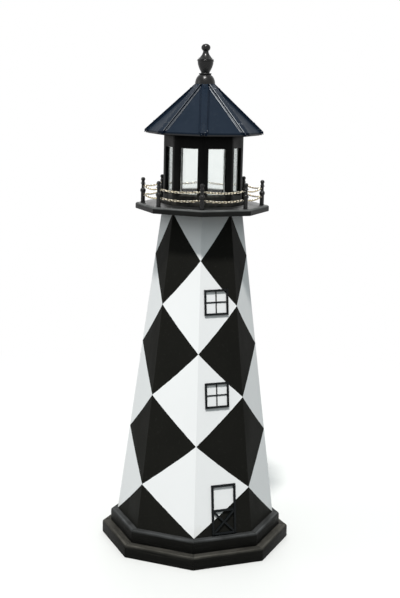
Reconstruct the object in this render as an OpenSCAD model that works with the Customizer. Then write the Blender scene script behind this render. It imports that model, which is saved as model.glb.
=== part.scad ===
// Lawn lighthouse: an eight-sided tapering wooden tower with a painted diamond daymark,
// a gallery deck with posts and chains, a glazed lantern room and a lift-off roof.
// The origin is on the ground under the middle of the tower. The door faces -Y.

/* [Plinth] */
// How far the lower plinth ring stands out past the upper one
lower_base_step = 24.5; // [18:0.5:35]
// How far the upper plinth ring stands out past the foot of the tower
upper_base_step = 20; // [10:0.5:30]
// Width of each plinth board, measured in from the outer edge
base_board_w = 89; // [85:1:95]
// Thickness of the plinth boards
base_board_t = 40; // [30:1:50]
// Radius of the rounded outer top edge of the plinth boards
base_edge_r = 8; // [2:1:15]

/* [Tower] */
// Width across the flats at the foot of the tower
tower_foot_af = 452; // [440:1:465]
// Width across the flats at the head of the tower
tower_head_af = 223; // [215:1:240]
// Height of the tower panels
tower_h = 952; // [800:1:1100]
// Thickness of the tower panels
tower_panel_t = 12; // [9:1:18]
// Number of half diamonds up the tower
diamond_rows = 7; // [5:2:9]
// Thickness of the boards that the panels are fixed round
former_t = 18; // [12:1:24]
// Diameter of the hole through the foot and middle formers
former_hole_d = 148; // [80:1:150]

/* [Deck] */
// Width across the flats of the gallery deck
deck_af = 372; // [340:1:400]
// Thickness of the gallery deck
deck_t = 19; // [16:1:25]
// Radius of the rounded edges of the deck
deck_edge_r = 6; // [2:0.5:7]

/* [Railing] */
// Distance from a corner of the deck in to the middle of its post
post_inset = 22; // [16:1:30]
// Height of the posts above the deck
post_h = 75.5; // [73:0.5:90]
// Diameter of the straight shaft of a post
post_shaft_d = 12.7; // [11:0.1:15]
// Diameter of the large ball on a post
post_ball_d = 17; // [15:0.5:20]
// Height of the middle of the large ball above the deck
post_ball_z = 35.5; // [34:0.5:38]
// Diameter of the neck of a post
post_neck_d = 9.6; // [8:0.1:11]
// Diameter of the small ring on a post
post_ring_d = 14; // [12:0.5:16]
// Height of the small ring above the deck
post_ring_z = 57; // [56.5:0.5:59]
// Diameter of the ball at the tip of a post
post_tip_d = 12.8; // [11:0.1:14]
// Diameter of the peg under a post
post_peg_d = 6; // [4:0.5:8]
// Length of the peg under a post
post_peg_l = 12; // [8:0.5:14]

/* [Chain] */
// Wire diameter of the chain links
link_wire_d = 1.8; // [1.2:0.1:2]
// Outside width of a chain link
link_w = 7; // [6.4:0.1:8]
// Length that each link adds to the chain
link_pitch = 9.8; // [9:0.1:12]
// Sag of each span of chain
chain_sag = 4.7; // [3:0.1:14]
// Height of the upper chain's screw eyes above the deck
upper_eye_z = 50.3; // [49.5:0.1:51]
// Height of the lower chain's screw eyes above the deck
lower_eye_z = 25; // [18:0.5:26]
// Wire diameter of the screw eyes
eye_wire_d = 1.2; // [1:0.1:1.4]
// Inside diameter of the screw eyes
eye_bore_d = 3.6; // [3:0.1:4]

/* [Lantern room] */
// Width across the flats of the lantern room
lantern_af = 220; // [205:1:230]
// Height of the lantern walls
lantern_h = 207; // [180:1:230]
// Thickness of the lantern walls
wall_t = 12; // [9:1:15]
// Width of the wood on each side of a lantern window, at its outer face
window_side = 17; // [15:0.1:25]
// Height of the window sill's outer edge above the deck
window_sill = 29; // [24:1:40]
// Height of the wall above each lantern window
window_head = 37; // [31:1:60]
// Slope of the window sills in degrees
sill_slope = 30; // [5:1:35]
// Thickness of the clear panes
pane_t = 2; // [1.5:0.5:3]
// How far each pane overlaps the wall round its window
pane_lap = 7; // [4:0.5:8]
// Thickness of the skirt laths round the foot of the lantern room
skirt_t = 6; // [4:0.5:8]
// Height of the skirt laths
skirt_h = 14; // [8:1:20]

/* [Roof] */
// Width across the flats of the roof at the eave
roof_af = 318; // [300:1:340]
// Slope of the roof panels in degrees
roof_pitch = 45; // [42:1:48]
// Thickness of the roof panels
roof_panel_t = 5; // [4:0.5:7]
// Thickness of the soffit board
soffit_t = 12; // [9:1:15]
// How far the soffit board's edge stands in from the eave
soffit_inset = 6; // [5:1:12]
// Width of the narrow bevel where the soffit board meets the panels
soffit_bevel = 3; // [2:0.5:4]
// Diameter of the hole in the soffit board
soffit_hole_d = 140; // [80:1:145]
// Width of the hip caps over their flanges
hip_cap_w = 29.5; // [27:0.5:32]
// Width of the raised crown of the hip caps
hip_crown_w = 20; // [18:0.5:21]
// Height of the crown above the roof's edge line
hip_crown_h = 4.5; // [3.5:0.5:6]
// Thickness of the flanges of the hip caps
hip_flange_t = 1.5; // [1:0.1:2]
// How far the hip caps reach past the corners of the eave
hip_cap_reach = 5; // [3:0.5:10]
// Thickness of the drip edge strips
drip_t = 1.2; // [1:0.1:2]
// Height of the drip edge strips
drip_h = 4; // [3:0.5:8]
// Height of the locating blocks under the soffit board
locating_h = 20; // [12:1:22]
// Width across the flats of the king block under the peak
king_af = 44; // [36:1:48]
// Height of the king block
king_h = 30; // [20:1:40]

/* [Finial] */
// Largest diameter of the finial, at its foot
finial_d = 60; // [54:1:66]
// Height of the domed foot, were it a whole half dome
dome_h = 34.5; // [32:0.5:36]
// Diameter of the ring on top of the dome
dome_ring_d = 38; // [36:1:40]
// Diameter of the waist
waist_d = 25.6; // [24:0.2:28]
// Diameter of the top of the vase
vase_d = 47; // [44:1:48]
// Diameter of the collar
collar_d = 50.6; // [49:0.2:54]
// Diameter of the neck under the ball
finial_neck_d = 16; // [14:0.2:18]
// Diameter of the ball at the top
finial_ball_d = 27; // [24:0.5:30]
// Height of the ball at the top, which is a little flat
finial_ball_t = 24; // [20:0.5:30]
// Diameter of the stud that holds the finial
stud_d = 8; // [6:0.5:10]
// Length of the stud
stud_l = 55; // [40:1:58]

/* [Windows and door on the tower] */
// Outside width and height of the small windows
tower_window = 76; // [60:1:80]
// Height of the middle of the upper window above the foot of the panel
upper_window_s = 699; // [660:1:720]
// Distance of the upper window from the middle of the panel
upper_window_x = -7; // [-10:1:10]
// Height of the middle of the lower window above the foot of the panel
lower_window_s = 423; // [380:1:460]
// Distance of the lower window from the middle of the panel
lower_window_x = -11; // [-20:1:20]
// Width of the window frame strips
frame_strip_w = 6; // [5:0.5:10]
// Width of the glazing bars
bar_w = 4; // [3:0.5:6]
// Thickness of the raised strips
strip_t = 5; // [4:0.5:8]
// Outside width of the door
door_w = 78; // [60:1:90]
// Height of the top of the door above the foot of the panel
door_h = 154; // [130:1:180]
// Gap under the foot of the door
door_foot = 3; // [1:1:8]
// Distance of the door from the middle of the panel
door_x = 3; // [-15:1:15]
// Height of the middle rail above the foot of the panel
door_mid_s = 76; // [60:1:90]
// Width of the door strips
door_strip_w = 7; // [5:0.5:10]
// Width of the door's cross brace
brace_w = 6; // [4:0.5:8]

/* [Fits and fasteners] */
// Gap between boards that meet at a mitre or a butt joint
mitre_gap = 0.3; // [0.2:0.1:1]
// Gap of glue or paint behind applied strips, caps and panes
seat_gap = 0.2; // [0.1:0.05:0.3]
// Clearance round a screw, pin or peg, on the radius
pin_fit = 0.05; // [0.02:0.01:0.08]
// Gap between the soffit board and the lantern walls that it rests on
rest_gap = 0.05; // [0.02:0.01:0.1]
// Play between the locating blocks and the lantern walls
locating_play = 1; // [0.5:0.1:2]
// Slack in each joint of the chain
link_slack = 0.3; // [0.2:0.05:0.5]
// Shank diameter of the wood screws
screw_d = 4; // [3:0.1:5]
// Head diameter of the wood screws
screw_head_d = 8; // [7:0.5:9]
// Head height of the wood screws
screw_head_h = 3; // [2:0.1:4]
// Diameter of the pins through the raised strips
trim_pin_d = 1.4; // [1:0.1:2]
// Length of the pins through the raised strips
trim_pin_l = 13; // [8:1:15]
// Diameter of the domed heads of the hip cap screws
cap_screw_head_d = 4; // [3:0.5:5]
// Shank diameter of the hip cap screws
cap_screw_d = 2; // [1.5:0.1:3]

/* [Hidden] */
$fn = 48;

// The tower has eight sides, so one side turns into the next by 45 degrees
sides = 8;
turn = 360 / sides;
half_turn = turn / 2;
// More than any radius of the object, for cutting tools
far = 400;
// How far a cutting tool runs past the face it opens
over = 1;
// Free length past the tip of a screw, pin or peg in a blind hole
tip_room = 0.5;

// Wood left past the tips of the screws
tip_cover = 4;

// Plinth rings stand out from the foot of the tower in two steps
upper_base_af = tower_foot_af + 2 * upper_base_step;
lower_base_af = upper_base_af + 2 * lower_base_step;
upper_base_in_a = upper_base_af / 2 - base_board_w;
lower_base_in_a = lower_base_af / 2 - base_board_w;

// Levels, from the ground up
upper_base_z = base_board_t;
tower_z = 2 * base_board_t;
deck_z = tower_z + tower_h;
deck_top = deck_z + deck_t;
wall_top = deck_top + lantern_h;
soffit_z = wall_top + rest_gap;
soffit_top = soffit_z + soffit_t;
roof_a = roof_af / 2;
soffit_a = roof_a - soffit_inset;
roof_panel_drop = roof_panel_t / cos(roof_pitch);
// The panels' undersides lie on the bevel at the top of the soffit board
soffit_edge_top = soffit_top - soffit_bevel * tan(roof_pitch);
eave_z = soffit_edge_top - soffit_inset * tan(roof_pitch) + roof_panel_drop;
king_a = king_af / 2;
// The finial stands on the king block, level with the upper ends of the panels
finial_z = eave_z + (roof_a - king_a) * tan(roof_pitch);

// Taper of the tower
tower_run = (tower_foot_af - tower_head_af) / 2;
tower_lean = atan(tower_run / tower_h);
panel_l = tower_h / cos(tower_lean);
middle_z = tower_z + tower_h / 2;

// Slope of the roof's edge lines, and the fall of the panels to each side of one
hip_slope = atan(tan(roof_pitch) * cos(half_turn));
hip_fall = acos(pow(sin(roof_pitch), 2) * cos(turn) + pow(cos(roof_pitch), 2)) / 2;
roof_corner_r = roof_a / cos(half_turn);
finial_r = finial_d / 2;

// Screws of the plinth: board to board, and upper ring to foot former
plinth_screw_a = (lower_base_in_a + upper_base_af / 2) / 2;
plinth_sink = 10;
plinth_screw_l = 2 * base_board_t - plinth_sink - tip_cover;
former_screw_a = (upper_base_in_a + lower_base_in_a) / 2;
former_screw_l = base_board_t - plinth_sink + former_t - tip_cover;

// Screws of the deck, in a ring inside the lantern room
deck_screw_a = 60;
deck_screw_l = deck_t - screw_head_h + former_t - tip_cover;

// Lantern room
lantern_a = lantern_af / 2;
lantern_in_a = lantern_a - wall_t;
window_w = lantern_af * tan(half_turn) - 2 * window_side;
window_h = lantern_h - window_sill - window_head;
sill_rise = wall_t * tan(sill_slope);
pane_foot = window_sill + sill_rise - pane_lap;
pane_top = window_sill + window_h + pane_lap;
pane_w = window_w + 2 * pane_lap;
cleat_w = 12;
cleat_l = window_w - cleat_w;
cleat_screw_a = lantern_in_a - seat_gap - cleat_w / 2;
cleat_screw_l = cleat_w - screw_head_h + deck_t - tip_cover;
block_w = 12;
block_l = cleat_l - block_w;
block_a = lantern_in_a - locating_play;
block_screw_a = block_a - block_w / 2;
block_screw_l = locating_h - screw_head_h + soffit_t - tip_cover;

// Posts stand on a circle; the chains hang on the lines between them
post_r = deck_af / 2 / cos(half_turn) - post_inset;
post_chord = 2 * post_r * sin(half_turn);
post_line_a = post_r * cos(half_turn);
post_tip_z = post_h - post_tip_d / 2;
eye_ring_r = (eye_bore_d + eye_wire_d) / 2;
eye_stand = post_shaft_d / 2 + seat_gap + eye_ring_r + eye_wire_d / 2;
eye_sink = 3.2;
span_l = post_chord - 2 * eye_stand;
// Curve of a hanging span: height is sag_k times the square of the distance from its middle
sag_k = 4 * chain_sag / pow(span_l, 2);
span_arc = span_l * (1 + 8 / 3 * pow(chain_sag / span_l, 2));
link_count = round((span_arc - eye_bore_d + link_slack) / link_pitch);
link_step = (span_arc - eye_bore_d + link_slack) / link_count;
link_l = link_step + 2 * link_wire_d + link_slack;

// Hip cap screws, two side by side near the eave and one near the peak
eave_screw_inset = 34;
cap_screw_side = 4.5;
eave_screw_apart = hip_crown_w - 2 * cap_screw_side;
peak_screw_inset = 14;
cap_screw_head_h = 1.2;
// The drip edge hangs clear of the ends of the hip caps
drip_down = 4.5;

// Finial heights above its seat
ring_bead_r = 2;
ring_h = dome_h * sqrt(1 - pow((dome_ring_d - 2 * ring_bead_r) / finial_d, 2));
waist_h = ring_h + 3 * ring_bead_r;
vase_h = 32;
vase_top = waist_h + vase_h;
collar_bead_r = 1.7;
collar_step = 1;
collar_h = vase_top + 4 * collar_bead_r;
cove_h = 23.3;
cove_foot_d = vase_d - collar_step;
// A larger power draws the cove in to the neck sooner
cove_power = 1.9;
neck_top = collar_h + cove_h;
// The ball meets the neck at this angle under its middle
ball_foot_angle = acos(finial_neck_d / finial_ball_d);
finial_ball_h = neck_top + finial_ball_t / 2 * sin(ball_foot_angle);
curve_steps = 10;

// Space inside the strips of the door
door_inner_w = door_w - 2 * door_strip_w;
door_brace_h = door_mid_s - door_foot - 1.5 * door_strip_w;

// Repeats a piece round the flat sides, with the first one facing -Y
module each_side() {
    for (i = [0 : sides - 1])
        rotate([0, 0, i * turn]) children();
}

// Repeats a piece round the corners
module each_corner() {
    for (i = [0 : sides - 1])
        rotate([0, 0, (i + 0.5) * turn]) children();
}

// Wedge that holds one side, with mitre planes through the axis or a gap's half in from them
module side_wedge(z0, z1, gap = 0) {
    apex = gap / 2 / sin(half_turn);
    half_w = (far - apex) * tan(half_turn);
    translate([0, 0, z0])
        linear_extrude(z1 - z0)
            polygon([[0, -apex], [-half_w, -far], [half_w, -far]]);
}

// Bar along a side: its outline gives the distance from the axis, then the height
module side_bar(length) {
    rotate([90, 0, -90])
        linear_extrude(length, center = true) children();
}

module octagon(af) {
    rotate([0, 0, half_turn]) circle(r = af / 2 / cos(half_turn), $fn = sides);
}

// Outline of a board with its outer top edge rounded
module rounded_board_outline(inner_a, outer_a, t, edge_r) {
    translate([inner_a, 0]) square([outer_a - inner_a, t - edge_r]);
    translate([inner_a, 0]) square([outer_a - edge_r - inner_a, t]);
    translate([outer_a - edge_r, t - edge_r]) circle(r = edge_r);
}

// Places a piece on the outside of the door's panel: x across, s up the panel
module on_door_panel(x, s) {
    translate([0, -tower_foot_af / 2, tower_z])
        rotate([-tower_lean, 0, 0])
            translate([x, 0, s]) children();
}

// Strip on the outside of the door's panel, from one corner to the other
module strip(x0, s0, x1, s1) {
    translate([x0, -seat_gap - strip_t, s0]) cube([x1 - x0, strip_t, s1 - s0]);
}

// Wood screw along +Z, with the underside of its head at the origin
module screw(length) {
    cylinder(h = length, d = screw_d);
    translate([0, 0, -screw_head_h]) cylinder(h = screw_head_h, d = screw_head_d);
}

// Hole for a wood screw, open behind its head
module screw_hole(length, head_room = screw_head_h + over) {
    cylinder(h = length + tip_room, r = screw_d / 2 + pin_fit);
    translate([0, 0, -head_room]) cylinder(h = head_room, r = screw_head_d / 2 + pin_fit);
}

module base_board(af, z) {
    intersection() {
        translate([0, 0, z])
            side_bar(af)
                rounded_board_outline(af / 2 - base_board_w, af / 2, base_board_t, base_edge_r);
        side_wedge(z - over, z + base_board_t + over, mitre_gap);
    }
}

module at_plinth_screws() {
    translate([0, -plinth_screw_a, plinth_sink]) children();
}

module at_former_screws() {
    translate([0, -former_screw_a, upper_base_z + plinth_sink]) children();
}

module lower_base_boards() {
    color("#262523")
        each_side()
            difference() {
                base_board(lower_base_af, 0);
                at_plinth_screws() screw_hole(plinth_screw_l, head_room = plinth_sink + over);
            }
}

module upper_base_boards() {
    color("#1f1f1e")
        each_side()
            difference() {
                base_board(upper_base_af, upper_base_z);
                at_plinth_screws() screw_hole(plinth_screw_l, head_room = plinth_sink + over);
                at_former_screws() screw_hole(former_screw_l, head_room = plinth_sink + over);
            }
}

module base_screws() {
    color("#b9a36a")
        each_side() {
            at_plinth_screws() screw(plinth_screw_l);
            at_former_screws() screw(former_screw_l);
        }
}

// Half the width of a tower panel's outer face, a distance s up the panel
function panel_half_w(s) =
    (tower_foot_af / 2 - s * sin(tower_lean)) * tan(half_turn);

// Point on a panel in diamond units: t runs from the white edge to the black edge
function diamond_point(t, row) =
    let (s = row * panel_l / diamond_rows)
    [(2 * t - 1) * panel_half_w(s), s];

// The black parts of a panel with its white edge on the left, as prisms through it
module black_diamonds() {
    translate([0, tower_panel_t + over, 0])
        rotate([90, 0, 0])
            linear_extrude(tower_panel_t + 2 * over)
                for (row = [0 : 2 : diamond_rows - 1])
                    polygon([
                        diamond_point(0, row),
                        diamond_point(1, max(row - 1, 0)),
                        diamond_point(1, row + 1),
                    ]);
}

// One leaning tower panel, mitred at both edges
module tower_panel_blank() {
    intersection() {
        translate([0, -tower_foot_af / 2, tower_z])
            rotate([-tower_lean, 0, 0])
                translate([-tower_foot_af / 2, 0, -tower_panel_t])
                    cube([tower_foot_af, tower_panel_t, panel_l + 2 * tower_panel_t]);
        side_wedge(tower_z, deck_z);
    }
}

// A panel in its two colours; the white edge is on the left of odd panels
module tower_panel(n) {
    flip = n % 2 == 1 ? 0 : 1;
    rotate([0, 0, (n - 1) * turn])
        difference() {
            union() {
                color("#f2f2f0")
                    difference() {
                        tower_panel_blank();
                        on_door_panel(0, 0) mirror([flip, 0, 0]) black_diamonds();
                    }
                color("#161513")
                    intersection() {
                        tower_panel_blank();
                        on_door_panel(0, 0) mirror([flip, 0, 0]) black_diamonds();
                    }
            }
            if (n == 1) trim_pin_holes();
        }
}

// Solid that fills the tower inside its panels, between two heights
module tower_core(z0, z1) {
    difference() {
        translate([0, 0, z0])
            linear_extrude(z1 - z0) octagon(tower_foot_af);
        each_side()
            translate([0, -tower_foot_af / 2, tower_z])
                rotate([-tower_lean, 0, 0])
                    translate([-far, tower_panel_t - far, -far])
                        cube([2 * far, far, panel_l + 2 * far]);
    }
}

module foot_former() {
    color("#c9a877")
        difference() {
            tower_core(tower_z, tower_z + former_t);
            translate([0, 0, tower_z - over]) cylinder(h = former_t + 2 * over, d = former_hole_d);
            each_side() at_former_screws() screw_hole(former_screw_l);
        }
}

module middle_former() {
    color("#c9a877")
        difference() {
            tower_core(middle_z - former_t / 2, middle_z + former_t / 2);
            translate([0, 0, middle_z - former_t])
                cylinder(h = 2 * former_t, d = former_hole_d);
        }
}

module at_deck_screws() {
    for (quarter = [0 : 3])
        rotate([0, 0, 90 * quarter])
            translate([0, -deck_screw_a, deck_top - screw_head_h])
                rotate([180, 0, 0]) children();
}

module head_board() {
    color("#c9a877")
        difference() {
            tower_core(deck_z - former_t, deck_z);
            at_deck_screws() screw_hole(deck_screw_l);
        }
}

// A small window's four frame strips: two stiles and the rails between them
module window_frame(x, s) {
    half = tower_window / 2;
    inner = half - frame_strip_w;
    color("#141516")
        difference() {
            on_door_panel(x, s) {
                strip(-half, -half, -inner, half);
                strip(inner, -half, half, half);
                strip(-inner + mitre_gap, -half, inner - mitre_gap, -inner);
                strip(-inner + mitre_gap, inner, inner - mitre_gap, half);
            }
            trim_pin_holes();
        }
}

// The cross of glazing bars inside a small window's frame
module window_bars(x, s) {
    reach = tower_window / 2 - frame_strip_w - mitre_gap;
    color("#141516")
        on_door_panel(x, s) {
            strip(-reach, -bar_w / 2, reach, bar_w / 2);
            strip(-bar_w / 2, bar_w / 2 + mitre_gap, bar_w / 2, reach);
            strip(-bar_w / 2, -reach, bar_w / 2, -bar_w / 2 - mitre_gap);
        }
}

module upper_window_frame() { window_frame(upper_window_x, upper_window_s); }
module upper_window_bars() { window_bars(upper_window_x, upper_window_s); }
module lower_window_frame() { window_frame(lower_window_x, lower_window_s); }
module lower_window_bars() { window_bars(lower_window_x, lower_window_s); }

// Stiles and three rails of the door
module door_frame() {
    half = door_w / 2;
    inner = half - door_strip_w;
    rail = inner - mitre_gap;
    color("#141516")
        difference() {
            on_door_panel(door_x, 0) {
                strip(-half, door_foot, -inner, door_h);
                strip(inner, door_foot, half, door_h);
                strip(-rail, door_h - door_strip_w, rail, door_h);
                strip(-rail, door_mid_s - door_strip_w / 2, rail, door_mid_s + door_strip_w / 2);
                strip(-rail, door_foot, rail, door_foot + door_strip_w);
            }
            trim_pin_holes();
        }
}

// One diagonal of the cross brace, longer than it needs to be
module brace_bar(side, w, past = 0) {
    angle = atan(door_brace_h / door_inner_w);
    rotate([0, -side * angle, 0])
        translate([-door_w, -seat_gap - strip_t - past, -w / 2])
            cube([2 * door_w, strip_t + 2 * past, w]);
}

// Cross brace under the middle rail: one whole strip and one in two halves
module door_brace() {
    brace_mid = door_foot + door_strip_w + door_brace_h / 2;
    color("#141516")
        on_door_panel(door_x, brace_mid)
            intersection() {
                union() {
                    brace_bar(1, brace_w);
                    difference() {
                        brace_bar(-1, brace_w);
                        brace_bar(1, brace_w + 2 * mitre_gap, over);
                    }
                }
                translate([-door_inner_w / 2 + mitre_gap, -far, -door_brace_h / 2 + mitre_gap])
                    cube([door_inner_w - 2 * mitre_gap, 2 * far, door_brace_h - 2 * mitre_gap]);
            }
}

// Places of the pins: the corners of both windows, and the door's stiles
module at_trim_pins() {
    window_pin = (tower_window - frame_strip_w) / 2;
    door_pin = (door_w - door_strip_w) / 2;
    for (x = [-window_pin, window_pin], s = [-window_pin, window_pin]) {
        on_door_panel(upper_window_x + x, upper_window_s + s) children();
        on_door_panel(lower_window_x + x, lower_window_s + s) children();
    }
    for (x = [-door_pin, door_pin], s = [door_foot + door_strip_w, door_mid_s, door_h - door_strip_w])
        on_door_panel(door_x + x, s) children();
}

module trim_pin_holes() {
    at_trim_pins()
        translate([0, -seat_gap - strip_t - over, 0])
            rotate([-90, 0, 0])
                cylinder(h = trim_pin_l + tip_room + over, r = trim_pin_d / 2 + pin_fit);
}

module trim_pins() {
    color("#2a2a2a")
        at_trim_pins()
            translate([0, -seat_gap - strip_t, 0])
                rotate([-90, 0, 0]) cylinder(h = trim_pin_l, d = trim_pin_d);
}

// Outline of the deck's outer strip, rounded above and a little less below
module deck_edge_outline() {
    deck_a = deck_af / 2;
    under_r = deck_edge_r / 2;
    translate([deck_a - 2 * deck_edge_r, 0]) {
        square([deck_edge_r, deck_t]);
        square([2 * deck_edge_r - under_r, deck_t - deck_edge_r]);
        translate([0, under_r])
            square([2 * deck_edge_r, deck_t - deck_edge_r - under_r]);
    }
    translate([deck_a - deck_edge_r, deck_t - deck_edge_r]) circle(r = deck_edge_r);
    translate([deck_a - under_r, under_r]) circle(r = under_r);
}

// Deck: a flat middle whose edges lap into the rounded strips, all one board
module deck_board() {
    color("#2b2a28")
        difference() {
            translate([0, 0, deck_z]) {
                linear_extrude(deck_t) octagon(deck_af - 3 * deck_edge_r);
                each_side()
                    intersection() {
                        side_bar(deck_af) deck_edge_outline();
                        side_wedge(-over, deck_t + over);
                    }
            }
            at_deck_screws() screw_hole(deck_screw_l);
            each_side() at_cleat_screw() screw_hole(cleat_screw_l);
            at_posts()
                translate([0, 0, -post_peg_l - tip_room])
                    cylinder(h = post_peg_l + tip_room + over, r = post_peg_d / 2 + pin_fit);
        }
}

module deck_screws() {
    color("#b9a36a") at_deck_screws() screw(deck_screw_l);
}

module at_posts() {
    each_corner()
        translate([0, -post_r, deck_top]) children();
}

// Place of a screw eye at one end of a span, with X pointing into its post
module at_eye(z, end) {
    translate([end * span_l / 2, -post_line_a, deck_top + z])
        mirror([end > 0 ? 0 : 1, 0, 0]) children();
}

// One turned post: foot bead, shaft, large ball, neck, ring and tip
module post() {
    foot_bead_r = 2;
    cylinder(h = post_ball_z, d = post_shaft_d);
    cylinder(h = foot_bead_r, d = post_shaft_d + foot_bead_r);
    translate([0, 0, post_ball_z]) sphere(d = post_ball_d);
    translate([0, 0, post_ball_z]) cylinder(h = post_tip_z - post_ball_z, d = post_neck_d);
    translate([0, 0, post_ring_z])
        rotate_extrude()
            translate([post_neck_d / 2, 0]) circle(d = post_ring_d - post_neck_d);
    translate([0, 0, post_tip_z]) sphere(d = post_tip_d);
    translate([0, 0, -post_peg_l]) cylinder(h = post_peg_l, d = post_peg_d);
}

module railing_posts() {
    color("#101112")
        difference() {
            at_posts() post();
            each_side()
                for (z = [lower_eye_z, upper_eye_z], end = [-1, 1])
                    at_eye(z, end)
                        rotate([0, 90, 0])
                            cylinder(h = eye_stand - post_neck_d / 2 + eye_sink + tip_room,
                                     r = eye_wire_d / 2 + pin_fit);
        }
}

// Screw eye: a ring of wire and a shank into the post, with the ring's middle at the origin
module screw_eye(roll) {
    rotate([roll, 0, 0])
        rotate_extrude() translate([eye_ring_r, 0]) circle(d = eye_wire_d);
    translate([eye_ring_r, 0, 0])
        rotate([0, 90, 0])
            cylinder(h = eye_stand - eye_ring_r - post_neck_d / 2 + eye_sink, d = eye_wire_d);
}

// Links and eyes turn by 45 degrees one way and the other along a span
function link_roll(i) = i % 2 == 0 ? turn : -turn;

module chain_eyes() {
    color("#c9a54a")
        each_side()
            for (z = [lower_eye_z, upper_eye_z]) {
                at_eye(z, -1) screw_eye(link_roll(-1));
                at_eye(z, 1) screw_eye(link_roll(link_count));
            }
}

// One oval link along X, made of two half rings and two straight wires
module chain_link() {
    bend_r = (link_w - link_wire_d) / 2;
    straight = link_l - link_w;
    for (end = [0, 180])
        rotate([0, 0, end])
            translate([straight / 2, 0, 0])
                rotate([0, 0, -90])
                    rotate_extrude(angle = 180)
                        translate([bend_r, 0]) circle(d = link_wire_d);
    for (y = [-bend_r, bend_r])
        translate([-straight / 2, y, 0])
            rotate([0, 90, 0]) cylinder(h = straight, d = link_wire_d);
}

// Distance along the chord for a distance along the hanging span
function chord_x(arc) = arc - 2 / 3 * pow(sag_k, 2) * pow(arc, 3);

// One run of chain at a height, hanging in eight spans
module chain_run(eye_z) {
    color("#d2ab4e")
        each_side()
            for (i = [0 : link_count - 1]) {
                x = chord_x((i - (link_count - 1) / 2) * link_step);
                translate([x, -post_line_a, deck_top + eye_z - chain_sag + sag_k * x * x])
                    rotate([0, -atan(2 * sag_k * x), 0])
                        rotate([link_roll(i), 0, 0]) chain_link();
            }
}

module upper_chain() { chain_run(upper_eye_z); }
module lower_chain() { chain_run(lower_eye_z); }

// One lantern wall with its window; the sill slopes down to the outside
module lantern_wall(n) {
    color("#17181a")
        rotate([0, 0, (n - 1) * turn])
            intersection() {
                difference() {
                    translate([-lantern_a, -lantern_a, deck_top]) cube([lantern_af, wall_t, lantern_h]);
                    translate([0, 0, deck_top + window_sill])
                        side_bar(window_w)
                            polygon([
                                [lantern_a + over, -over * tan(sill_slope)],
                                [lantern_a + over, window_h],
                                [lantern_in_a - over, window_h],
                                [lantern_in_a - over, sill_rise + over * tan(sill_slope)],
                            ]);
                }
                side_wedge(deck_top, wall_top);
            }
}

module lantern_panes() {
    color("#dfe8ea", 0.35)
        each_side()
            translate([-pane_w / 2, -lantern_in_a + seat_gap, deck_top + pane_foot])
                cube([pane_w, pane_t, pane_top - pane_foot]);
}

module at_cleat_screw() {
    translate([0, -cleat_screw_a, deck_top + cleat_w - screw_head_h])
        rotate([180, 0, 0]) children();
}

module lantern_cleats() {
    color("#c9a877")
        each_side()
            difference() {
                translate([-cleat_l / 2, -lantern_in_a + seat_gap, deck_top])
                    cube([cleat_l, cleat_w, cleat_w]);
                at_cleat_screw() screw_hole(cleat_screw_l);
            }
}

module cleat_screws() {
    color("#b9a36a") each_side() at_cleat_screw() screw(cleat_screw_l);
}

// Laths round the foot of the lantern room, with a rounded top edge
module lantern_skirt() {
    outer_a = lantern_a + seat_gap + skirt_t;
    color("#141516")
        each_side()
            intersection() {
                translate([0, 0, deck_top])
                    side_bar(lantern_af)
                        rounded_board_outline(outer_a - skirt_t, outer_a, skirt_h, skirt_t / 2);
                side_wedge(deck_top - over, wall_top, mitre_gap);
            }
}

// Soffit board: its top edge is bevelled to the slope of the panels
module soffit_board() {
    color("#1a1b1d")
        difference() {
            translate([0, 0, soffit_z]) linear_extrude(soffit_t) octagon(2 * soffit_a);
            each_side()
                translate([0, -soffit_a, soffit_edge_top])
                    rotate([roof_pitch, 0, 0])
                        translate([-soffit_a, -soffit_t, 0]) cube([2 * soffit_a, 2 * soffit_t, soffit_t]);
            translate([0, 0, soffit_z - over])
                cylinder(h = soffit_t + 2 * over, d = soffit_hole_d);
            each_side() at_block_screw() screw_hole(block_screw_l);
        }
}

module at_block_screw() {
    translate([0, -block_screw_a, soffit_z - locating_h + screw_head_h]) children();
}

module locating_blocks() {
    color("#c9a877")
        each_side()
            difference() {
                translate([-block_l / 2, -block_a, soffit_z - locating_h])
                    cube([block_l, block_w, locating_h]);
                at_block_screw() screw_hole(block_screw_l);
            }
}

module block_screws() {
    color("#b9a36a") each_side() at_block_screw() screw(block_screw_l);
}

// One roof panel, cut plumb at the eave and where it meets the king block
module roof_panel(n) {
    rise = finial_z - eave_z;
    color("#15171b")
        rotate([0, 0, (n - 1) * turn])
            difference() {
                intersection() {
                    translate([0, 0, eave_z])
                        side_bar(roof_af)
                            polygon([
                                [roof_a, 0],
                                [king_a, rise],
                                [king_a, rise - roof_panel_drop],
                                [roof_a, -roof_panel_drop],
                            ]);
                    side_wedge(eave_z - far, finial_z + over);
                }
                for (side = [-0.5, 0.5])
                    rotate([0, 0, side * turn]) at_cap_screws() cap_screw_hole();
            }
}

// Places a piece on a roof edge line: Z runs up the line and Y stands out from the roof
module on_hip(distance) {
    translate([0, -roof_corner_r, eave_z])
        rotate([hip_slope - 90, 0, 0])
            rotate([0, 0, 180])
                translate([0, 0, distance]) children();
}

// Outline of the flanges of a hip cap, which lie on the panels
module hip_flange_outline() {
    half_w = hip_cap_w / 2;
    drop = half_w * tan(hip_fall);
    translate([0, seat_gap])
        polygon([
            [-half_w, -drop],
            [0, 0],
            [half_w, -drop],
            [half_w, hip_flange_t - drop],
            [0, hip_flange_t],
            [-half_w, hip_flange_t - drop],
        ]);
}

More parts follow.
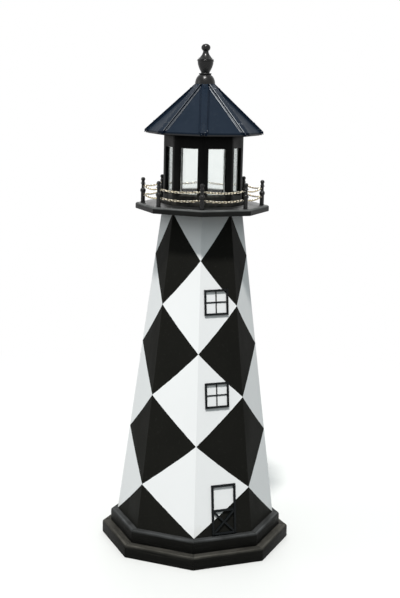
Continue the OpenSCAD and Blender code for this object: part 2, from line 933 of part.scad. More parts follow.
// Outline of the raised crown of a hip cap
module hip_crown_outline() {
    fall = tan(hip_fall);
    crown_r = 1.8;
    half_crown = hip_crown_w / 2;
    translate([0, seat_gap]) {
        polygon([
            [-half_crown, -half_crown * fall],
            [0, 0],
            [half_crown, -half_crown * fall],
            [half_crown, hip_crown_h - crown_r],
            [-half_crown, hip_crown_h - crown_r],
        ]);
        translate([crown_r - half_crown, 0])
            square([hip_crown_w - 2 * crown_r, hip_crown_h]);
        for (x = [crown_r - half_crown, half_crown - crown_r])
            translate([x, hip_crown_h - crown_r]) circle(r = crown_r);
    }
}

// Crowns reach past the eave. Flanges end level with the panels, and meet near the peak
module hip_caps() {
    cap_r = roof_corner_r + hip_cap_reach;
    cap_l = roof_corner_r / cos(hip_slope);
    color("#1b1d22")
        each_corner()
            difference() {
                union() {
                    intersection() {
                        on_hip(-2 * hip_cap_reach) linear_extrude(cap_l) hip_crown_outline();
                        translate([-hip_cap_w, -cap_r, eave_z - far])
                            cube([2 * hip_cap_w, cap_r, 2 * far]);
                    }
                    intersection() {
                        on_hip(-2 * hip_cap_reach) linear_extrude(cap_l) hip_flange_outline();
                        translate([0, 0, eave_z - far])
                            linear_extrude(2 * far) rotate([0, 0, half_turn]) octagon(roof_af);
                        side_wedge(eave_z - far, finial_z + far, mitre_gap);
                    }
                }
                finial_foot_room();
                at_cap_screws() cap_screw_hole();
            }
}

// Room for the finial's foot: the caps end against it in flats
module finial_foot_room() {
    flats = 12;
    half_flat = 180 / flats;
    rotate([0, 0, half_flat])
        cylinder(h = 2 * finial_z, r = (finial_r + seat_gap) / cos(half_flat), $fn = flats);
}

// Places of the screws in a hip cap
module at_cap_screws() {
    hip_l = (roof_corner_r - finial_r) / cos(hip_slope);
    for (place = [
        [-eave_screw_apart / 2, eave_screw_inset],
        [eave_screw_apart / 2, eave_screw_inset],
        [0, hip_l - peak_screw_inset],
    ])
        on_hip(place[1])
            translate([place[0], hip_crown_h + seat_gap, 0])
                rotate([90, 0, 0]) children();
}

module cap_screw_hole() {
    cylinder(h = hip_crown_h + roof_panel_t, r = cap_screw_d / 2 + pin_fit);
}

// Domed head on the cap and a short shank through the cap into the roof
module hip_cap_screws() {
    ball_r = (pow(cap_screw_head_d / 2, 2) + pow(cap_screw_head_h, 2)) / 2 / cap_screw_head_h;
    color("#2a2c30")
        each_corner()
            at_cap_screws() {
                cylinder(h = hip_crown_h + roof_panel_t - tip_room, d = cap_screw_d);
                intersection() {
                    translate([0, 0, ball_r - cap_screw_head_h]) sphere(r = ball_r);
                    translate([0, 0, -cap_screw_head_h])
                        cylinder(h = cap_screw_head_h, d = 2 * cap_screw_head_d);
                }
            }
}

// Strips along the eave, just under the ends of the hip caps
module drip_edge() {
    color("#101113")
        each_side()
            intersection() {
                translate([-roof_a, -roof_a - seat_gap - drip_t, eave_z - drip_down - drip_h])
                    cube([roof_af, drip_t, drip_h]);
                side_wedge(wall_top - far, finial_z, mitre_gap);
            }
}

module king_block() {
    color("#c9a877")
        difference() {
            translate([0, 0, finial_z - king_h]) linear_extrude(king_h) octagon(king_af);
            stud_hole();
        }
}

module stud_hole() {
    translate([0, 0, finial_z - stud_l / 2 - tip_room])
        cylinder(h = stud_l + 2 * tip_room, r = stud_d / 2 + pin_fit);
}

module finial_stud() {
    color("#b5b8bb")
        translate([0, 0, finial_z - stud_l / 2]) cylinder(h = stud_l, d = stud_d);
}

// Outline of the turned finial from its seat up
function dome_curve() = [
    for (i = [0 : curve_steps])
        let (h = ring_h * i / curve_steps)
        [finial_r * sqrt(1 - pow(h / dome_h, 2)), h]
];
function vase_curve() = [
    for (i = [0 : curve_steps])
        let (u = i / curve_steps)
        [(waist_d + (vase_d - waist_d) * sin(90 * u)) / 2, waist_h + vase_h * u]
];
function cove_curve() = [
    for (i = [0 : curve_steps])
        let (u = i / curve_steps, taper = pow(1 - u, cove_power))
        [(finial_neck_d + (cove_foot_d - finial_neck_d) * taper) / 2, collar_h + cove_h * u]
];
function ball_curve() = [
    for (i = [2 * curve_steps - 1 : -1 : 0])
        let (a = 90 - (90 + ball_foot_angle) * i / (2 * curve_steps))
        [finial_ball_d / 2 * cos(a), finial_ball_h + finial_ball_t / 2 * sin(a)]
];

module finial() {
    color("#0e0f10")
        difference() {
            translate([0, 0, finial_z]) {
                rotate_extrude()
                    polygon(concat(
                        [[0, 0]],
                        dome_curve(),
                        [[dome_ring_d / 2 - ring_bead_r, ring_h + 2 * ring_bead_r]],
                        [[waist_d / 2, ring_h + 2 * ring_bead_r]],
                        vase_curve(),
                        [[collar_d / 2 - collar_bead_r, vase_top]],
                        [[collar_d / 2 - collar_bead_r, collar_h]],
                        cove_curve(),
                        ball_curve()
                    ));
                finial_bead(dome_ring_d, ring_h + ring_bead_r, ring_bead_r);
                finial_bead(collar_d, vase_top + collar_bead_r, collar_bead_r);
                finial_bead(collar_d - 2 * collar_step, vase_top + 3 * collar_bead_r, collar_bead_r);
            }
            stud_hole();
        }
}

// Rounded ring round the finial
module finial_bead(d, h, bead_r) {
    translate([0, 0, h])
        rotate_extrude() translate([d / 2 - bead_r, 0]) circle(r = bead_r);
}

lower_base_boards();
upper_base_boards();
base_screws();
tower_panel(1);  // tower_panel_1
tower_panel(2);  // tower_panel_2
tower_panel(3);  // tower_panel_3
tower_panel(4);  // tower_panel_4
tower_panel(5);  // tower_panel_5
tower_panel(6);  // tower_panel_6
tower_panel(7);  // tower_panel_7
tower_panel(8);  // tower_panel_8
foot_former();
middle_former();
head_board();
upper_window_frame();
upper_window_bars();
lower_window_frame();
lower_window_bars();
door_frame();
door_brace();
trim_pins();
deck_board();
deck_screws();
railing_posts();
chain_eyes();
upper_chain();
lower_chain();
lantern_wall(1);  // lantern_wall_1
lantern_wall(2);  // lantern_wall_2
lantern_wall(3);  // lantern_wall_3
lantern_wall(4);  // lantern_wall_4
lantern_wall(5);  // lantern_wall_5
lantern_wall(6);  // lantern_wall_6
lantern_wall(7);  // lantern_wall_7
lantern_wall(8);  // lantern_wall_8
lantern_panes();
lantern_cleats();
cleat_screws();
lantern_skirt();
soffit_board();
locating_blocks();
block_screws();
roof_panel(1);  // roof_panel_1
roof_panel(2);  // roof_panel_2
roof_panel(3);  // roof_panel_3
roof_panel(4);  // roof_panel_4
roof_panel(5);  // roof_panel_5
roof_panel(6);  // roof_panel_6
roof_panel(7);  // roof_panel_7
roof_panel(8);  // roof_panel_8
hip_caps();
hip_cap_screws();
drip_edge();
king_block();
finial();
finial_stud();
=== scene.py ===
import math
import random

import bmesh
import bpy
from mathutils import Matrix, Vector


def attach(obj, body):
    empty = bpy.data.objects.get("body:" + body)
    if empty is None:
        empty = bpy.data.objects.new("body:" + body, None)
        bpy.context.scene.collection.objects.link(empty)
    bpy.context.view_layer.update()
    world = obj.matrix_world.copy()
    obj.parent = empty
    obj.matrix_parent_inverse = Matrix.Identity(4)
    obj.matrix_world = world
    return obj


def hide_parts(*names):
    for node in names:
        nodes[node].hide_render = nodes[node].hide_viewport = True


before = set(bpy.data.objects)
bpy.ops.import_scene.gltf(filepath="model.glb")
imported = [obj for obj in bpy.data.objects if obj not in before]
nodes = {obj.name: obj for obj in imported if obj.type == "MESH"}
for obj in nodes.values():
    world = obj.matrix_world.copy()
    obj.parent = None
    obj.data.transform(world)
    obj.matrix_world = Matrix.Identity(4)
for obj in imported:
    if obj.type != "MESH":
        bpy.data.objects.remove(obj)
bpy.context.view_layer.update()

bpy.ops.object.select_all(action="DESELECT")

# Camera
# It stands in front of the corner to the left of the door, a little above the lantern room,
# looks down at the tower and leans slightly to one side.
eye_distance = 3.552
eye_turn = math.radians(-22.19)
eye_height = 1.416
look_down = math.radians(10.5)
lean = math.radians(1.35)
bpy.ops.object.camera_add(
    location=(eye_distance * math.sin(eye_turn), -eye_distance * math.cos(eye_turn), eye_height)
)
camera = bpy.context.object
camera.name = "camera"
camera.rotation_euler = (
    Matrix.Rotation(eye_turn, 3, "Z")
    @ Matrix.Rotation(math.pi / 2 - look_down, 3, "X")
    @ Matrix.Rotation(lean, 3, "Z")
).to_euler()
camera.data.sensor_width = 36
camera.data.lens = 71.01
bpy.context.scene.camera = camera
bpy.context.scene.view_settings.view_transform = "Standard"

# Floor and studio light
# The floor is a plain pale sheet that fades to white away from the lighthouse and keeps its shadow.
# A lamp stands high at the front left, weak soft ones fill in from the left and the back, and the
# room is lighter overhead than at its sides.
floor_pale = (0.55, 0.55, 0.54, 1)
floor_bounce = (0.09, 0.09, 0.087, 1)
floor_radius = 4
fade_near = 1.1
fade_far = 2.6
level_light = 0.20
overhead_light = 0.84
sky_tint = (0.89, 0.98, 1.0, 1)


def node(tree, kind, feeds=None, **settings):
    """Adds a shader node; feeds gives its inputs a value or another node's output."""
    made = tree.nodes.new("ShaderNode" + kind)
    for name, value in settings.items():
        setattr(made, name, value)
    for name, value in (feeds or {}).items():
        if isinstance(value, bpy.types.NodeSocket):
            tree.links.new(value, made.inputs[name])
        else:
            made.inputs[name].default_value = value
    return made


def maths(tree, operation, *values):
    return node(tree, "Math", dict(enumerate(values)), operation=operation).outputs[0]


def step(tree, value, low, high, low_to=0.0, high_to=1.0):
    """Runs smoothly from one number to another as a value goes from low to high."""
    feeds = {"Value": value, "From Min": low, "From Max": high, "To Min": low_to, "To Max": high_to}
    return node(tree, "MapRange", feeds, interpolation_type="SMOOTHSTEP").outputs["Result"]


def mixed(tree, amount, first, second):
    return node(tree, "Mix", {0: amount, 6: first, 7: second}, data_type="RGBA").outputs[2]


def seen_rays(tree):
    """One for rays from the camera and for reflected and refracted ones, so that they see white."""
    path = node(tree, "LightPath").outputs
    seen = maths(tree, "MAXIMUM", path["Is Camera Ray"], path["Is Glossy Ray"])
    return maths(tree, "MAXIMUM", seen, path["Is Transmission Ray"])


bpy.ops.mesh.primitive_circle_add(vertices=96, radius=floor_radius, fill_type="NGON", location=(0, 0, 0))
floor = bpy.context.object
floor.name = "floor"
floor_sheet = bpy.data.materials.new("floor_sheet")
floor_sheet.use_nodes = True
tree = floor_sheet.node_tree
tree.nodes.clear()
place = node(tree, "TexCoord").outputs["Object"]
from_middle = node(tree, "VectorMath", {0: place}, operation="LENGTH").outputs["Value"]
faded = step(tree, from_middle, fade_near, fade_far)
paper = node(tree, "BsdfDiffuse", {"Color": mixed(tree, seen_rays(tree), floor_bounce, floor_pale)})
white = node(tree, "Emission", {"Color": (1, 1, 1, 1), "Strength": 1.0})
seen_white = maths(tree, "MULTIPLY", faded, seen_rays(tree))
sheet = node(tree, "MixShader", {0: seen_white, 1: paper.outputs[0], 2: white.outputs[0]})
node(tree, "OutputMaterial", {"Surface": sheet.outputs[0]})
floor.data.materials.append(floor_sheet)

studio = bpy.data.worlds.new("studio")
bpy.context.scene.world = studio
studio.use_nodes = True
tree = studio.node_tree
tree.nodes.clear()
direction = node(tree, "SeparateXYZ", {0: node(tree, "TexCoord").outputs["Generated"]}).outputs
above = maths(tree, "MAXIMUM", direction[2], 0.0)
sky = maths(tree, "MULTIPLY_ADD", above, overhead_light, level_light)
seen = seen_rays(tree)
strength = node(tree, "Mix", {0: seen, 2: sky, 3: 1.0}, data_type="FLOAT").outputs[0]
colour = mixed(tree, seen, sky_tint, (1, 1, 1, 1))
air = node(tree, "Background", {"Color": colour, "Strength": strength})
node(tree, "OutputWorld", {"Surface": air.outputs[0]})


tower_middle = 0.75


def lamp(name, turn, height, away, size, power, colour=(1, 1, 1)):
    """Adds a square lamp at an angle from the door's side, aimed at the middle of the tower."""
    aim = Vector((0, 0, tower_middle))
    place = Vector((away * math.sin(turn), -away * math.cos(turn), height))
    facing = (aim - place).to_track_quat("-Z", "Y").to_euler()
    bpy.ops.object.light_add(type="AREA", location=place, rotation=facing)
    made = bpy.context.object
    made.name = name
    made.data.size = size
    made.data.energy = power
    made.data.color = colour


key_colour = (1, 0.98, 0.965)
lamp("key_lamp", math.radians(-31), height=15.1, away=7.15, size=1.2, power=3150, colour=key_colour)
lamp("left_lamp", math.radians(-100), height=2.2, away=3.6, size=1.8, power=16)
lamp("back_lamp", math.radians(157), height=3.2, away=4.2, size=2.4, power=75)

# Plinth
# Two rings of eight thick boards lie one on the other, mitred at the corners and screwed together
# from below. Their black paint is weathered and greyest on the upper faces, and a band along the
# worn, rounded upper edges is painted lighter: wear and a painted highlight.
sides = 8
side_turn = 2 * math.pi / sides
half_turn = side_turn / 2
board_wide = 0.089
board_thick = 0.040
board_round = 0.008
lower_across = 0.541
upper_across = 0.492
mitre_gap = 0.0003
screw_head_high = 0.010
screw_hole_wide = 0.0081
uncut = 0.3
same_place = 1e-5
smooth_below = math.radians(35)
sharp_above = math.radians(40)
bit_spare = 0.01
patch_step = 1.37
board_screw_from_axis = 0.21375
former_screw_from_axis = 0.16925
plinth_top = 2 * board_thick


def slab(centre, size, turn=(0, 0, 0)):
    """Adds a block of a given size at its place, ready to be shaped."""
    bpy.ops.object.select_all(action="DESELECT")
    bpy.ops.mesh.primitive_cube_add(size=1, location=centre, rotation=turn, scale=size)
    settle()
    return bpy.context.object


def settle():
    """Puts the object's place, turn and scale into its mesh."""
    bpy.ops.object.transform_apply(location=True, rotation=True, scale=True)


def edit():
    bpy.ops.object.mode_set(mode="EDIT")


def leave():
    bpy.ops.object.mode_set(mode="OBJECT")


def pick(kind, chosen):
    """Selects the faces, edges or verts that a test chooses by their place or normal."""
    bpy.context.tool_settings.mesh_select_mode = (kind == "verts", kind == "edges", kind == "faces")
    bpy.ops.mesh.select_all(action="DESELECT")
    mesh = bmesh.from_edit_mesh(bpy.context.object.data)
    mesh.normal_update()
    for part in getattr(mesh, kind):
        if chosen(part):
            part.select_set(True)
    mesh.select_flush_mode()
    bmesh.update_edit_mesh(bpy.context.object.data)


def middle(part):
    """The middle of an edge or a face."""
    return sum((v.co for v in part.verts), Vector()) / len(part.verts)


def saw(point, normal):
    """Cuts the shape being edited by a plane and takes away what lies on the normal's side."""
    bpy.ops.mesh.select_all(action="SELECT")
    bpy.ops.mesh.bisect(plane_co=point, plane_no=normal, use_fill=True, clear_outer=True)


def mitre(gap=0.0):
    """Saws both ends of a piece on the door's side to meet its neighbours."""
    apex = (0, -gap / 2 / math.sin(half_turn), 0)
    for way in (1, -1):
        saw(apex, (way * math.cos(half_turn), math.sin(half_turn), 0))


def ease_edges(width, segments=2):
    """Rounds over every edge that is still sharp."""
    pick("edges", lambda e: e.is_manifold and e.calc_face_angle(0) > sharp_above)
    bpy.ops.mesh.bevel(offset=width, segments=segments, affect="EDGES")


def all_round(first=0.0):
    """Repeats the shape being edited on all eight sides, and turns it all by a first angle."""
    bpy.ops.mesh.select_all(action="SELECT")
    if first:
        bpy.ops.transform.rotate(value=-first, orient_axis="Z", center_override=(0, 0, 0))
    whole = side_turn * (sides - 1)
    bpy.ops.mesh.spin(steps=sides - 1, dupli=True, angle=whole, center=(0, 0, 0), axis=(0, 0, 1))


def close_up():
    """Merges what lies on the same place and points every face outwards."""
    bpy.ops.mesh.select_all(action="SELECT")
    bpy.ops.mesh.remove_doubles(threshold=1e-6)
    bpy.ops.mesh.normals_make_consistent(inside=False)
    leave()
    bpy.ops.object.shade_smooth_by_angle(angle=smooth_below)


def fitted(piece, name, body, slot, finish, *cad_nodes):
    """Names a finished piece, gives it its finish and says which body and CAD nodes it goes with."""
    piece.name = name
    piece.data.materials.clear()
    piece.data.materials.append(finish)
    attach(piece, body)
    if cad_nodes:
        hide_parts(*cad_nodes)


def hole(piece, x, y, low, high, wide, around=24):
    """Bores a round hole through a piece between two heights."""
    bpy.ops.mesh.primitive_cylinder_add(
        vertices=around, radius=wide / 2, depth=high - low, location=(x, y, (low + high) / 2)
    )
    bit = bpy.context.object
    bpy.context.view_layer.objects.active = piece
    cut = piece.modifiers.new("bore", "BOOLEAN")
    cut.object = bit
    cut.operation = "DIFFERENCE"
    bpy.ops.object.modifier_apply(modifier=cut.name)
    bpy.data.objects.remove(bit)
    bpy.ops.object.select_all(action="DESELECT")
    piece.select_set(True)


def finish_for(name, **settings):
    """Starts a material and returns it with its tree and its shader, whose plain sockets are set."""
    made = bpy.data.materials.new(name)
    made.use_nodes = True
    tree = made.node_tree
    tree.nodes.clear()
    shader = node(tree, "BsdfPrincipled")
    for socket, value in settings.items():
        shader.inputs[socket.replace("_", " ")].default_value = value
    node(tree, "OutputMaterial", {"Surface": shader.outputs[0]})
    return made, tree, shader


def side_space(tree, offset=0.0):
    """Object coordinates turned so that each side lies like the door's side, and that side's number."""
    place = node(tree, "TexCoord").outputs["Object"]
    xyz = node(tree, "SeparateXYZ", {0: place}).outputs
    polar = maths(tree, "ARCTAN2", xyz[1], xyz[0])
    shifted = maths(tree, "ADD", polar, offset)
    number = maths(tree, "ROUND", maths(tree, "DIVIDE", shifted, side_turn))
    return turned_to_side(tree, place, number, offset), number


def turned_to_side(tree, vector, number, offset=0.0):
    """Turns a vector by as many sides as bring that side's number to the door's side."""
    angle = maths(tree, "MULTIPLY_ADD", number, -side_turn, offset - math.pi / 2)
    return node(tree, "VectorRotate", {"Vector": vector, "Angle": angle}, rotation_type="Z_AXIS").outputs[0]


def own_patch(tree, vector, number):
    """Moves a pattern along for each side, so that no two boards look alike."""
    along = maths(tree, "MULTIPLY", number, patch_step)
    far = node(tree, "CombineXYZ", {0: along, 2: number}).outputs[0]
    return node(tree, "VectorMath", {0: vector, 1: far}, operation="ADD").outputs[0]


def speckle(tree, vector, scale, detail=3.0, rough=0.55):
    """Noise over a vector whose axes are stretched by a scale each."""
    stretched = node(tree, "VectorMath", {0: vector, 1: scale}, operation="MULTIPLY").outputs[0]
    feeds = {"Vector": stretched, "Scale": 1.0, "Detail": detail, "Roughness": rough}
    return node(tree, "TexNoise", feeds).outputs["Fac"]


def bumps(tree, shader, height, depth):
    feeds = {"Height": height, "Distance": depth, "Strength": 1.0}
    tree.links.new(node(tree, "Bump", feeds).outputs[0], shader.inputs["Normal"])


def colour_of(tree, shader, value):
    tree.links.new(value, shader.inputs["Base Color"])


def roughness_of(tree, shader, value):
    tree.links.new(value, shader.inputs["Roughness"])


def upward(tree):
    """One on faces that look up, zero on the rest."""
    normal = node(tree, "TexCoord").outputs["Normal"]
    return step(tree, node(tree, "SeparateXYZ", {0: normal}).outputs[2], 0.55, 0.95)


weathered_black, tree, shader = finish_for("weathered_black", Specular_IOR_Level=0.05)
turned, number = side_space(tree)
board = own_patch(tree, turned, number)
grain = speckle(tree, board, (9, 260, 260), 5.0, 0.65)
checks = step(tree, speckle(tree, board, (5, 320, 320), 2.0), 0.63, 0.70)
patches = speckle(tree, board, (16, 40, 40), 4.0, 0.6)
xyz = node(tree, "SeparateXYZ", {0: turned}).outputs
out_from_axis = maths(tree, "MULTIPLY", xyz[1], -1.0)
tiers = maths(tree, "GREATER_THAN", xyz[2], board_thick + 0.001)
tier_face = maths(tree, "MULTIPLY_ADD", tiers, (upper_across - lower_across) / 2, lower_across / 2)
from_face = maths(tree, "SUBTRACT", tier_face, out_from_axis)
tier_top = maths(tree, "MULTIPLY_ADD", tiers, board_thick, board_thick)
from_top = maths(tree, "SUBTRACT", tier_top, xyz[2])
# The band along the rounded upper edge is painted lighter: edge wear and a painted highlight.
edge_wear_and_highlight = step(tree, maths(tree, "ADD", from_face, from_top), 0.0045, 0.0085, 1.0, 0.0)
up = upward(tree)
bare_and_highlight = maths(tree, "MULTIPLY_ADD", up, 0.34, maths(tree, "MULTIPLY", edge_wear_and_highlight, 0.26))
wear_and_highlight = maths(tree, "MULTIPLY", bare_and_highlight, step(tree, patches, 0.25, 0.62, 0.35, 1.0))
dusty = maths(tree, "ADD", wear_and_highlight, step(tree, grain, 0.52, 0.75, 0.0, 0.10))
paint = mixed(tree, patches, (0.0030, 0.0030, 0.0026, 1), (0.0075, 0.0074, 0.0064, 1))
brown_grey = mixed(tree, grain, (0.050, 0.047, 0.040, 1), (0.150, 0.143, 0.124, 1))
blue_grey = mixed(tree, grain, (0.047, 0.049, 0.049, 1), (0.138, 0.144, 0.147, 1))
greyed = mixed(tree, tiers, brown_grey, blue_grey)
cracked = mixed(tree, checks, greyed, (0.010, 0.009, 0.008, 1))
colour_of(tree, shader, mixed(tree, dusty, paint, cracked))
roughness_of(tree, shader, step(tree, dusty, 0.0, 0.6, 0.58, 0.9))
relief = maths(tree, "SUBTRACT", grain, maths(tree, "MULTIPLY", checks, 0.9))
bumps(tree, shader, relief, 0.0011)


def board_ring(across, low):
    """Cuts one board of a ring and rounds its outer upper edge."""
    face = across / 2
    board = slab((0, board_wide / 2 - face, low + board_thick / 2), (uncut, board_wide, board_thick))
    edit()
    mitre(mitre_gap)
    pick("edges", lambda e: abs(middle(e).y + face) < same_place
         and abs(middle(e).z - low - board_thick) < same_place)
    bpy.ops.mesh.bevel(offset=board_round, segments=5, affect="EDGES")
    ease_edges(0.0012)
    leave()
    return board


lower_ring = board_ring(lower_across, 0.0)
hole(lower_ring, 0, -board_screw_from_axis, -bit_spare, screw_head_high, screw_hole_wide)
edit()
all_round()
close_up()
fitted(lower_ring, "lower_ring", "tower", "plinth_black", weathered_black, "lower_base_boards")

upper_ring = board_ring(upper_across, board_thick)
hole_low = board_thick - bit_spare
hole_high = board_thick + screw_head_high
hole(upper_ring, 0, -former_screw_from_axis, hole_low, hole_high, screw_hole_wide)
edit()
all_round()
close_up()
fitted(upper_ring, "upper_ring", "tower", "plinth_black", weathered_black, "upper_base_boards")

# Screws
# Wood screws of plated steel hold the boards together. Their heads are sunk in the boards or hidden
# indoors, so the screws keep their shapes and only get a better metal.
plated_steel, tree, shader = finish_for("plated_steel", Metallic=1.0)
place = node(tree, "TexCoord").outputs["Object"]
turning = speckle(tree, place, (900, 900, 2600), 2.0)
tarnish = speckle(tree, place, (420, 420, 420), 3.0)
colour_of(tree, shader, mixed(tree, tarnish, (0.62, 0.55, 0.40, 1), (0.42, 0.38, 0.30, 1)))
roughness_of(tree, shader, step(tree, tarnish, 0.3, 0.7, 0.28, 0.5))
bumps(tree, shader, turning, 0.0001)


def painted_node(name, finish):
    """Gives a CAD node that stays a better material."""
    for number in range(len(nodes[name].material_slots)):
        nodes[name].material_slots[number].material = finish


for name in ("base_screws", "deck_screws", "cleat_screws", "block_screws", "finial_stud"):
    painted_node(name, plated_steel)

# Formers, head board, cleats and blocks
# Plain boards of bare softwood inside the tower, the lantern room and the roof, that the outer
# pieces are glued, pinned and screwed to.
bare_pine, tree, shader = finish_for("bare_pine", Specular_IOR_Level=0.3)
place = node(tree, "TexCoord").outputs["Object"]
warp = speckle(tree, place, (3, 9, 9), 2.0)
rings_from = node(tree, "VectorMath", {0: place, 1: (2.0, 60, 60)}, operation="MULTIPLY").outputs[0]
bent = node(tree, "VectorMath", {0: rings_from, 1: warp}, operation="ADD").outputs[0]
rings = node(tree, "TexWave", {"Vector": bent, "Scale": 1.2, "Distortion": 5.0, "Detail": 3.0},
             bands_direction="Y").outputs["Fac"]
fibres = speckle(tree, place, (40, 900, 900), 4.0)
pine = mixed(tree, rings, (0.62, 0.44, 0.25, 1), (0.50, 0.31, 0.15, 1))
pale_fibres = step(tree, fibres, 0.4, 0.7, 0.0, 0.4)
colour_of(tree, shader, mixed(tree, pale_fibres, pine, (0.70, 0.54, 0.34, 1)))
roughness_of(tree, shader, step(tree, rings, 0.0, 1.0, 0.62, 0.78))
bumps(tree, shader, fibres, 0.0003)
inner_boards = (
    "foot_former", "middle_former", "head_board", "lantern_cleats", "locating_blocks", "king_block",
)
for name in inner_boards:
    painted_node(name, bare_pine)

# Tower panels
# Eight leaning panels, mitred and glued at the corners, are painted white with seven rows of black
# half diamonds that meet at every other corner. The paint is satin and shows faint brush marks.
tower_foot = plinth_top
tower_high = 0.952
diamond_rows = 7
first_white_corner = math.radians(112.5)
paint_edge = 0.0035

diamond_paint, tree, shader = finish_for("diamond_paint", Specular_IOR_Level=0.012)
place = node(tree, "TexCoord").outputs["Object"]
xyz = node(tree, "SeparateXYZ", {0: place}).outputs
polar = maths(tree, "ARCTAN2", xyz[1], xyz[0])
two_sides = 2 * side_turn
quarter = maths(tree, "FLOORED_MODULO", maths(tree, "ADD", polar, first_white_corner), two_sides)
from_black = maths(tree, "ABSOLUTE", maths(tree, "SUBTRACT", quarter, side_turn))
folded = maths(tree, "SUBTRACT", half_turn, from_black)
spread = maths(tree, "DIVIDE", maths(tree, "TANGENT", folded), 2 * math.tan(half_turn))
across_side = maths(tree, "ADD", spread, 0.5)
rows = maths(tree, "DIVIDE", maths(tree, "SUBTRACT", xyz[2], tower_foot), tower_high / diamond_rows)
in_pair = maths(tree, "SUBTRACT", maths(tree, "FLOORED_MODULO", rows, 2.0), 1.0)
border = maths(tree, "SUBTRACT", 1.0, maths(tree, "ABSOLUTE", in_pair))
hand_wobble = step(tree, speckle(tree, place, (45, 45, 45), 2.0), 0.2, 0.8, -0.004, 0.004)
past_border = maths(tree, "ADD", maths(tree, "SUBTRACT", across_side, border), hand_wobble)
black = step(tree, past_border, -paint_edge, paint_edge)
turned, number = side_space(tree)
panel = own_patch(tree, turned, number)
brush = speckle(tree, panel, (420, 420, 18), 3.0, 0.6)
cloud = speckle(tree, panel, (9, 9, 5), 4.0, 0.6)
dust = step(tree, speckle(tree, panel, (160, 160, 120), 4.0, 0.7), 0.55, 0.8)
foot_soil = step(tree, xyz[2], tower_foot + 0.004, tower_foot + 0.045, 0.35, 0.0)
soil = maths(tree, "MULTIPLY", foot_soil, step(tree, cloud, 0.3, 0.7))
white_paint = mixed(tree, cloud, (0.86, 0.87, 0.87, 1), (0.82, 0.83, 0.83, 1))
white_soiled = mixed(tree, soil, white_paint, (0.52, 0.50, 0.43, 1))
black_paint = mixed(tree, cloud, (0.0085, 0.0085, 0.0074, 1), (0.0135, 0.0134, 0.0116, 1))
black_dusty = mixed(tree, maths(tree, "MULTIPLY", dust, 0.22), black_paint, (0.06, 0.06, 0.055, 1))
colour_of(tree, shader, mixed(tree, black, white_soiled, black_dusty))
white_gloss = step(tree, brush, 0.3, 0.7, 0.42, 0.5)
black_gloss = step(tree, cloud, 0.3, 0.7, 0.40, 0.55)
gloss = node(tree, "Mix", {0: black, 2: white_gloss, 3: black_gloss}, data_type="FLOAT").outputs[0]
roughness_of(tree, shader, gloss)
coats = maths(tree, "MULTIPLY_ADD", black, 0.6, maths(tree, "MULTIPLY", brush, 0.45))
bumps(tree, shader, coats, 0.0002)
for number_of_panel in range(1, sides + 1):
    painted_node(f"tower_panel_{number_of_panel}", diamond_paint)

# Windows and door on the tower
# Frames of thin black strips are pinned on the panel of the door's side, round a cross of glazing
# bars on the windows and a cross brace on the door. They have eased edges and gloss paint.
tower_foot_face = 0.226
tower_head_face = 0.1115
tower_lean = math.atan((tower_foot_face - tower_head_face) / tower_high)
strip_thick = 0.005
bar_thick = 0.0015
strip_seat = 0.0002
frame_strip = 0.006
door_strip = 0.007
glazing_bar = 0.004
window_across = 0.076
windows = {"upper": (-0.007, 0.699), "lower": (-0.011, 0.423)}
door_wide = 0.078
door_head = 0.154
door_foot = 0.003
door_shift = 0.003
door_rail = 0.076
brace_wide = 0.006

trim_gloss, tree, shader = finish_for("trim_gloss", Specular_IOR_Level=0.14)
place = node(tree, "TexCoord").outputs["Object"]
brush = speckle(tree, place, (300, 300, 120), 3.0)
colour_of(tree, shader, mixed(tree, brush, (0.0014, 0.0024, 0.0031, 1), (0.0030, 0.0044, 0.0054, 1)))
roughness_of(tree, shader, step(tree, brush, 0.3, 0.7, 0.24, 0.4))
bumps(tree, shader, brush, 0.0002)


def strip(left, low, right, high, thick=strip_thick):
    """Adds one strip in the plane of the door's panel: x across it and z up it."""
    size = (right - left, thick, high - low)
    centre = ((left + right) / 2, -strip_seat - thick / 2, (low + high) / 2)
    made = slab(centre, size)
    edit()
    ease_edges(0.0006)
    leave()
    return made


def joined(parts):
    """Joins pieces into one object."""
    bpy.ops.object.select_all(action="DESELECT")
    for part in parts:
        part.select_set(True)
    bpy.context.view_layer.objects.active = parts[0]
    if len(parts) > 1:
        bpy.ops.object.join()
    bpy.ops.object.shade_smooth_by_angle(angle=smooth_below)
    return bpy.context.object


def on_panel(piece, x, up):
    """Lays a piece made in the panel's plane on the leaning panel."""
    along = Matrix.Rotation(-tower_lean, 4, "X") @ Matrix.Translation((x, 0, up))
    piece.matrix_world = Matrix.Translation((0, -tower_foot_face, tower_foot)) @ along
    bpy.context.view_layer.update()
    settle()


reach = window_across / 2
inside = reach - frame_strip
bar_end = inside - mitre_gap
for which, (x, up) in windows.items():
    window_frame = joined([
        strip(-reach, -reach, -inside, reach),
        strip(inside, -reach, reach, reach),
        strip(-bar_end, -reach, bar_end, -inside),
        strip(-bar_end, inside, bar_end, reach),
    ])
    on_panel(window_frame, x, up)
    fitted(window_frame, f"{which}_frame", "tower", "trim_black", trim_gloss, f"{which}_window_frame")
    half_bar = glazing_bar / 2
    window_cross = joined([
        strip(-bar_end, -half_bar, bar_end, half_bar, bar_thick),
        strip(-half_bar, half_bar + mitre_gap, half_bar, bar_end, bar_thick),
        strip(-half_bar, -bar_end, half_bar, -half_bar - mitre_gap, bar_thick),
    ])
    on_panel(window_cross, x, up)
    fitted(window_cross, f"{which}_cross", "tower", "trim_black", trim_gloss, f"{which}_window_bars")

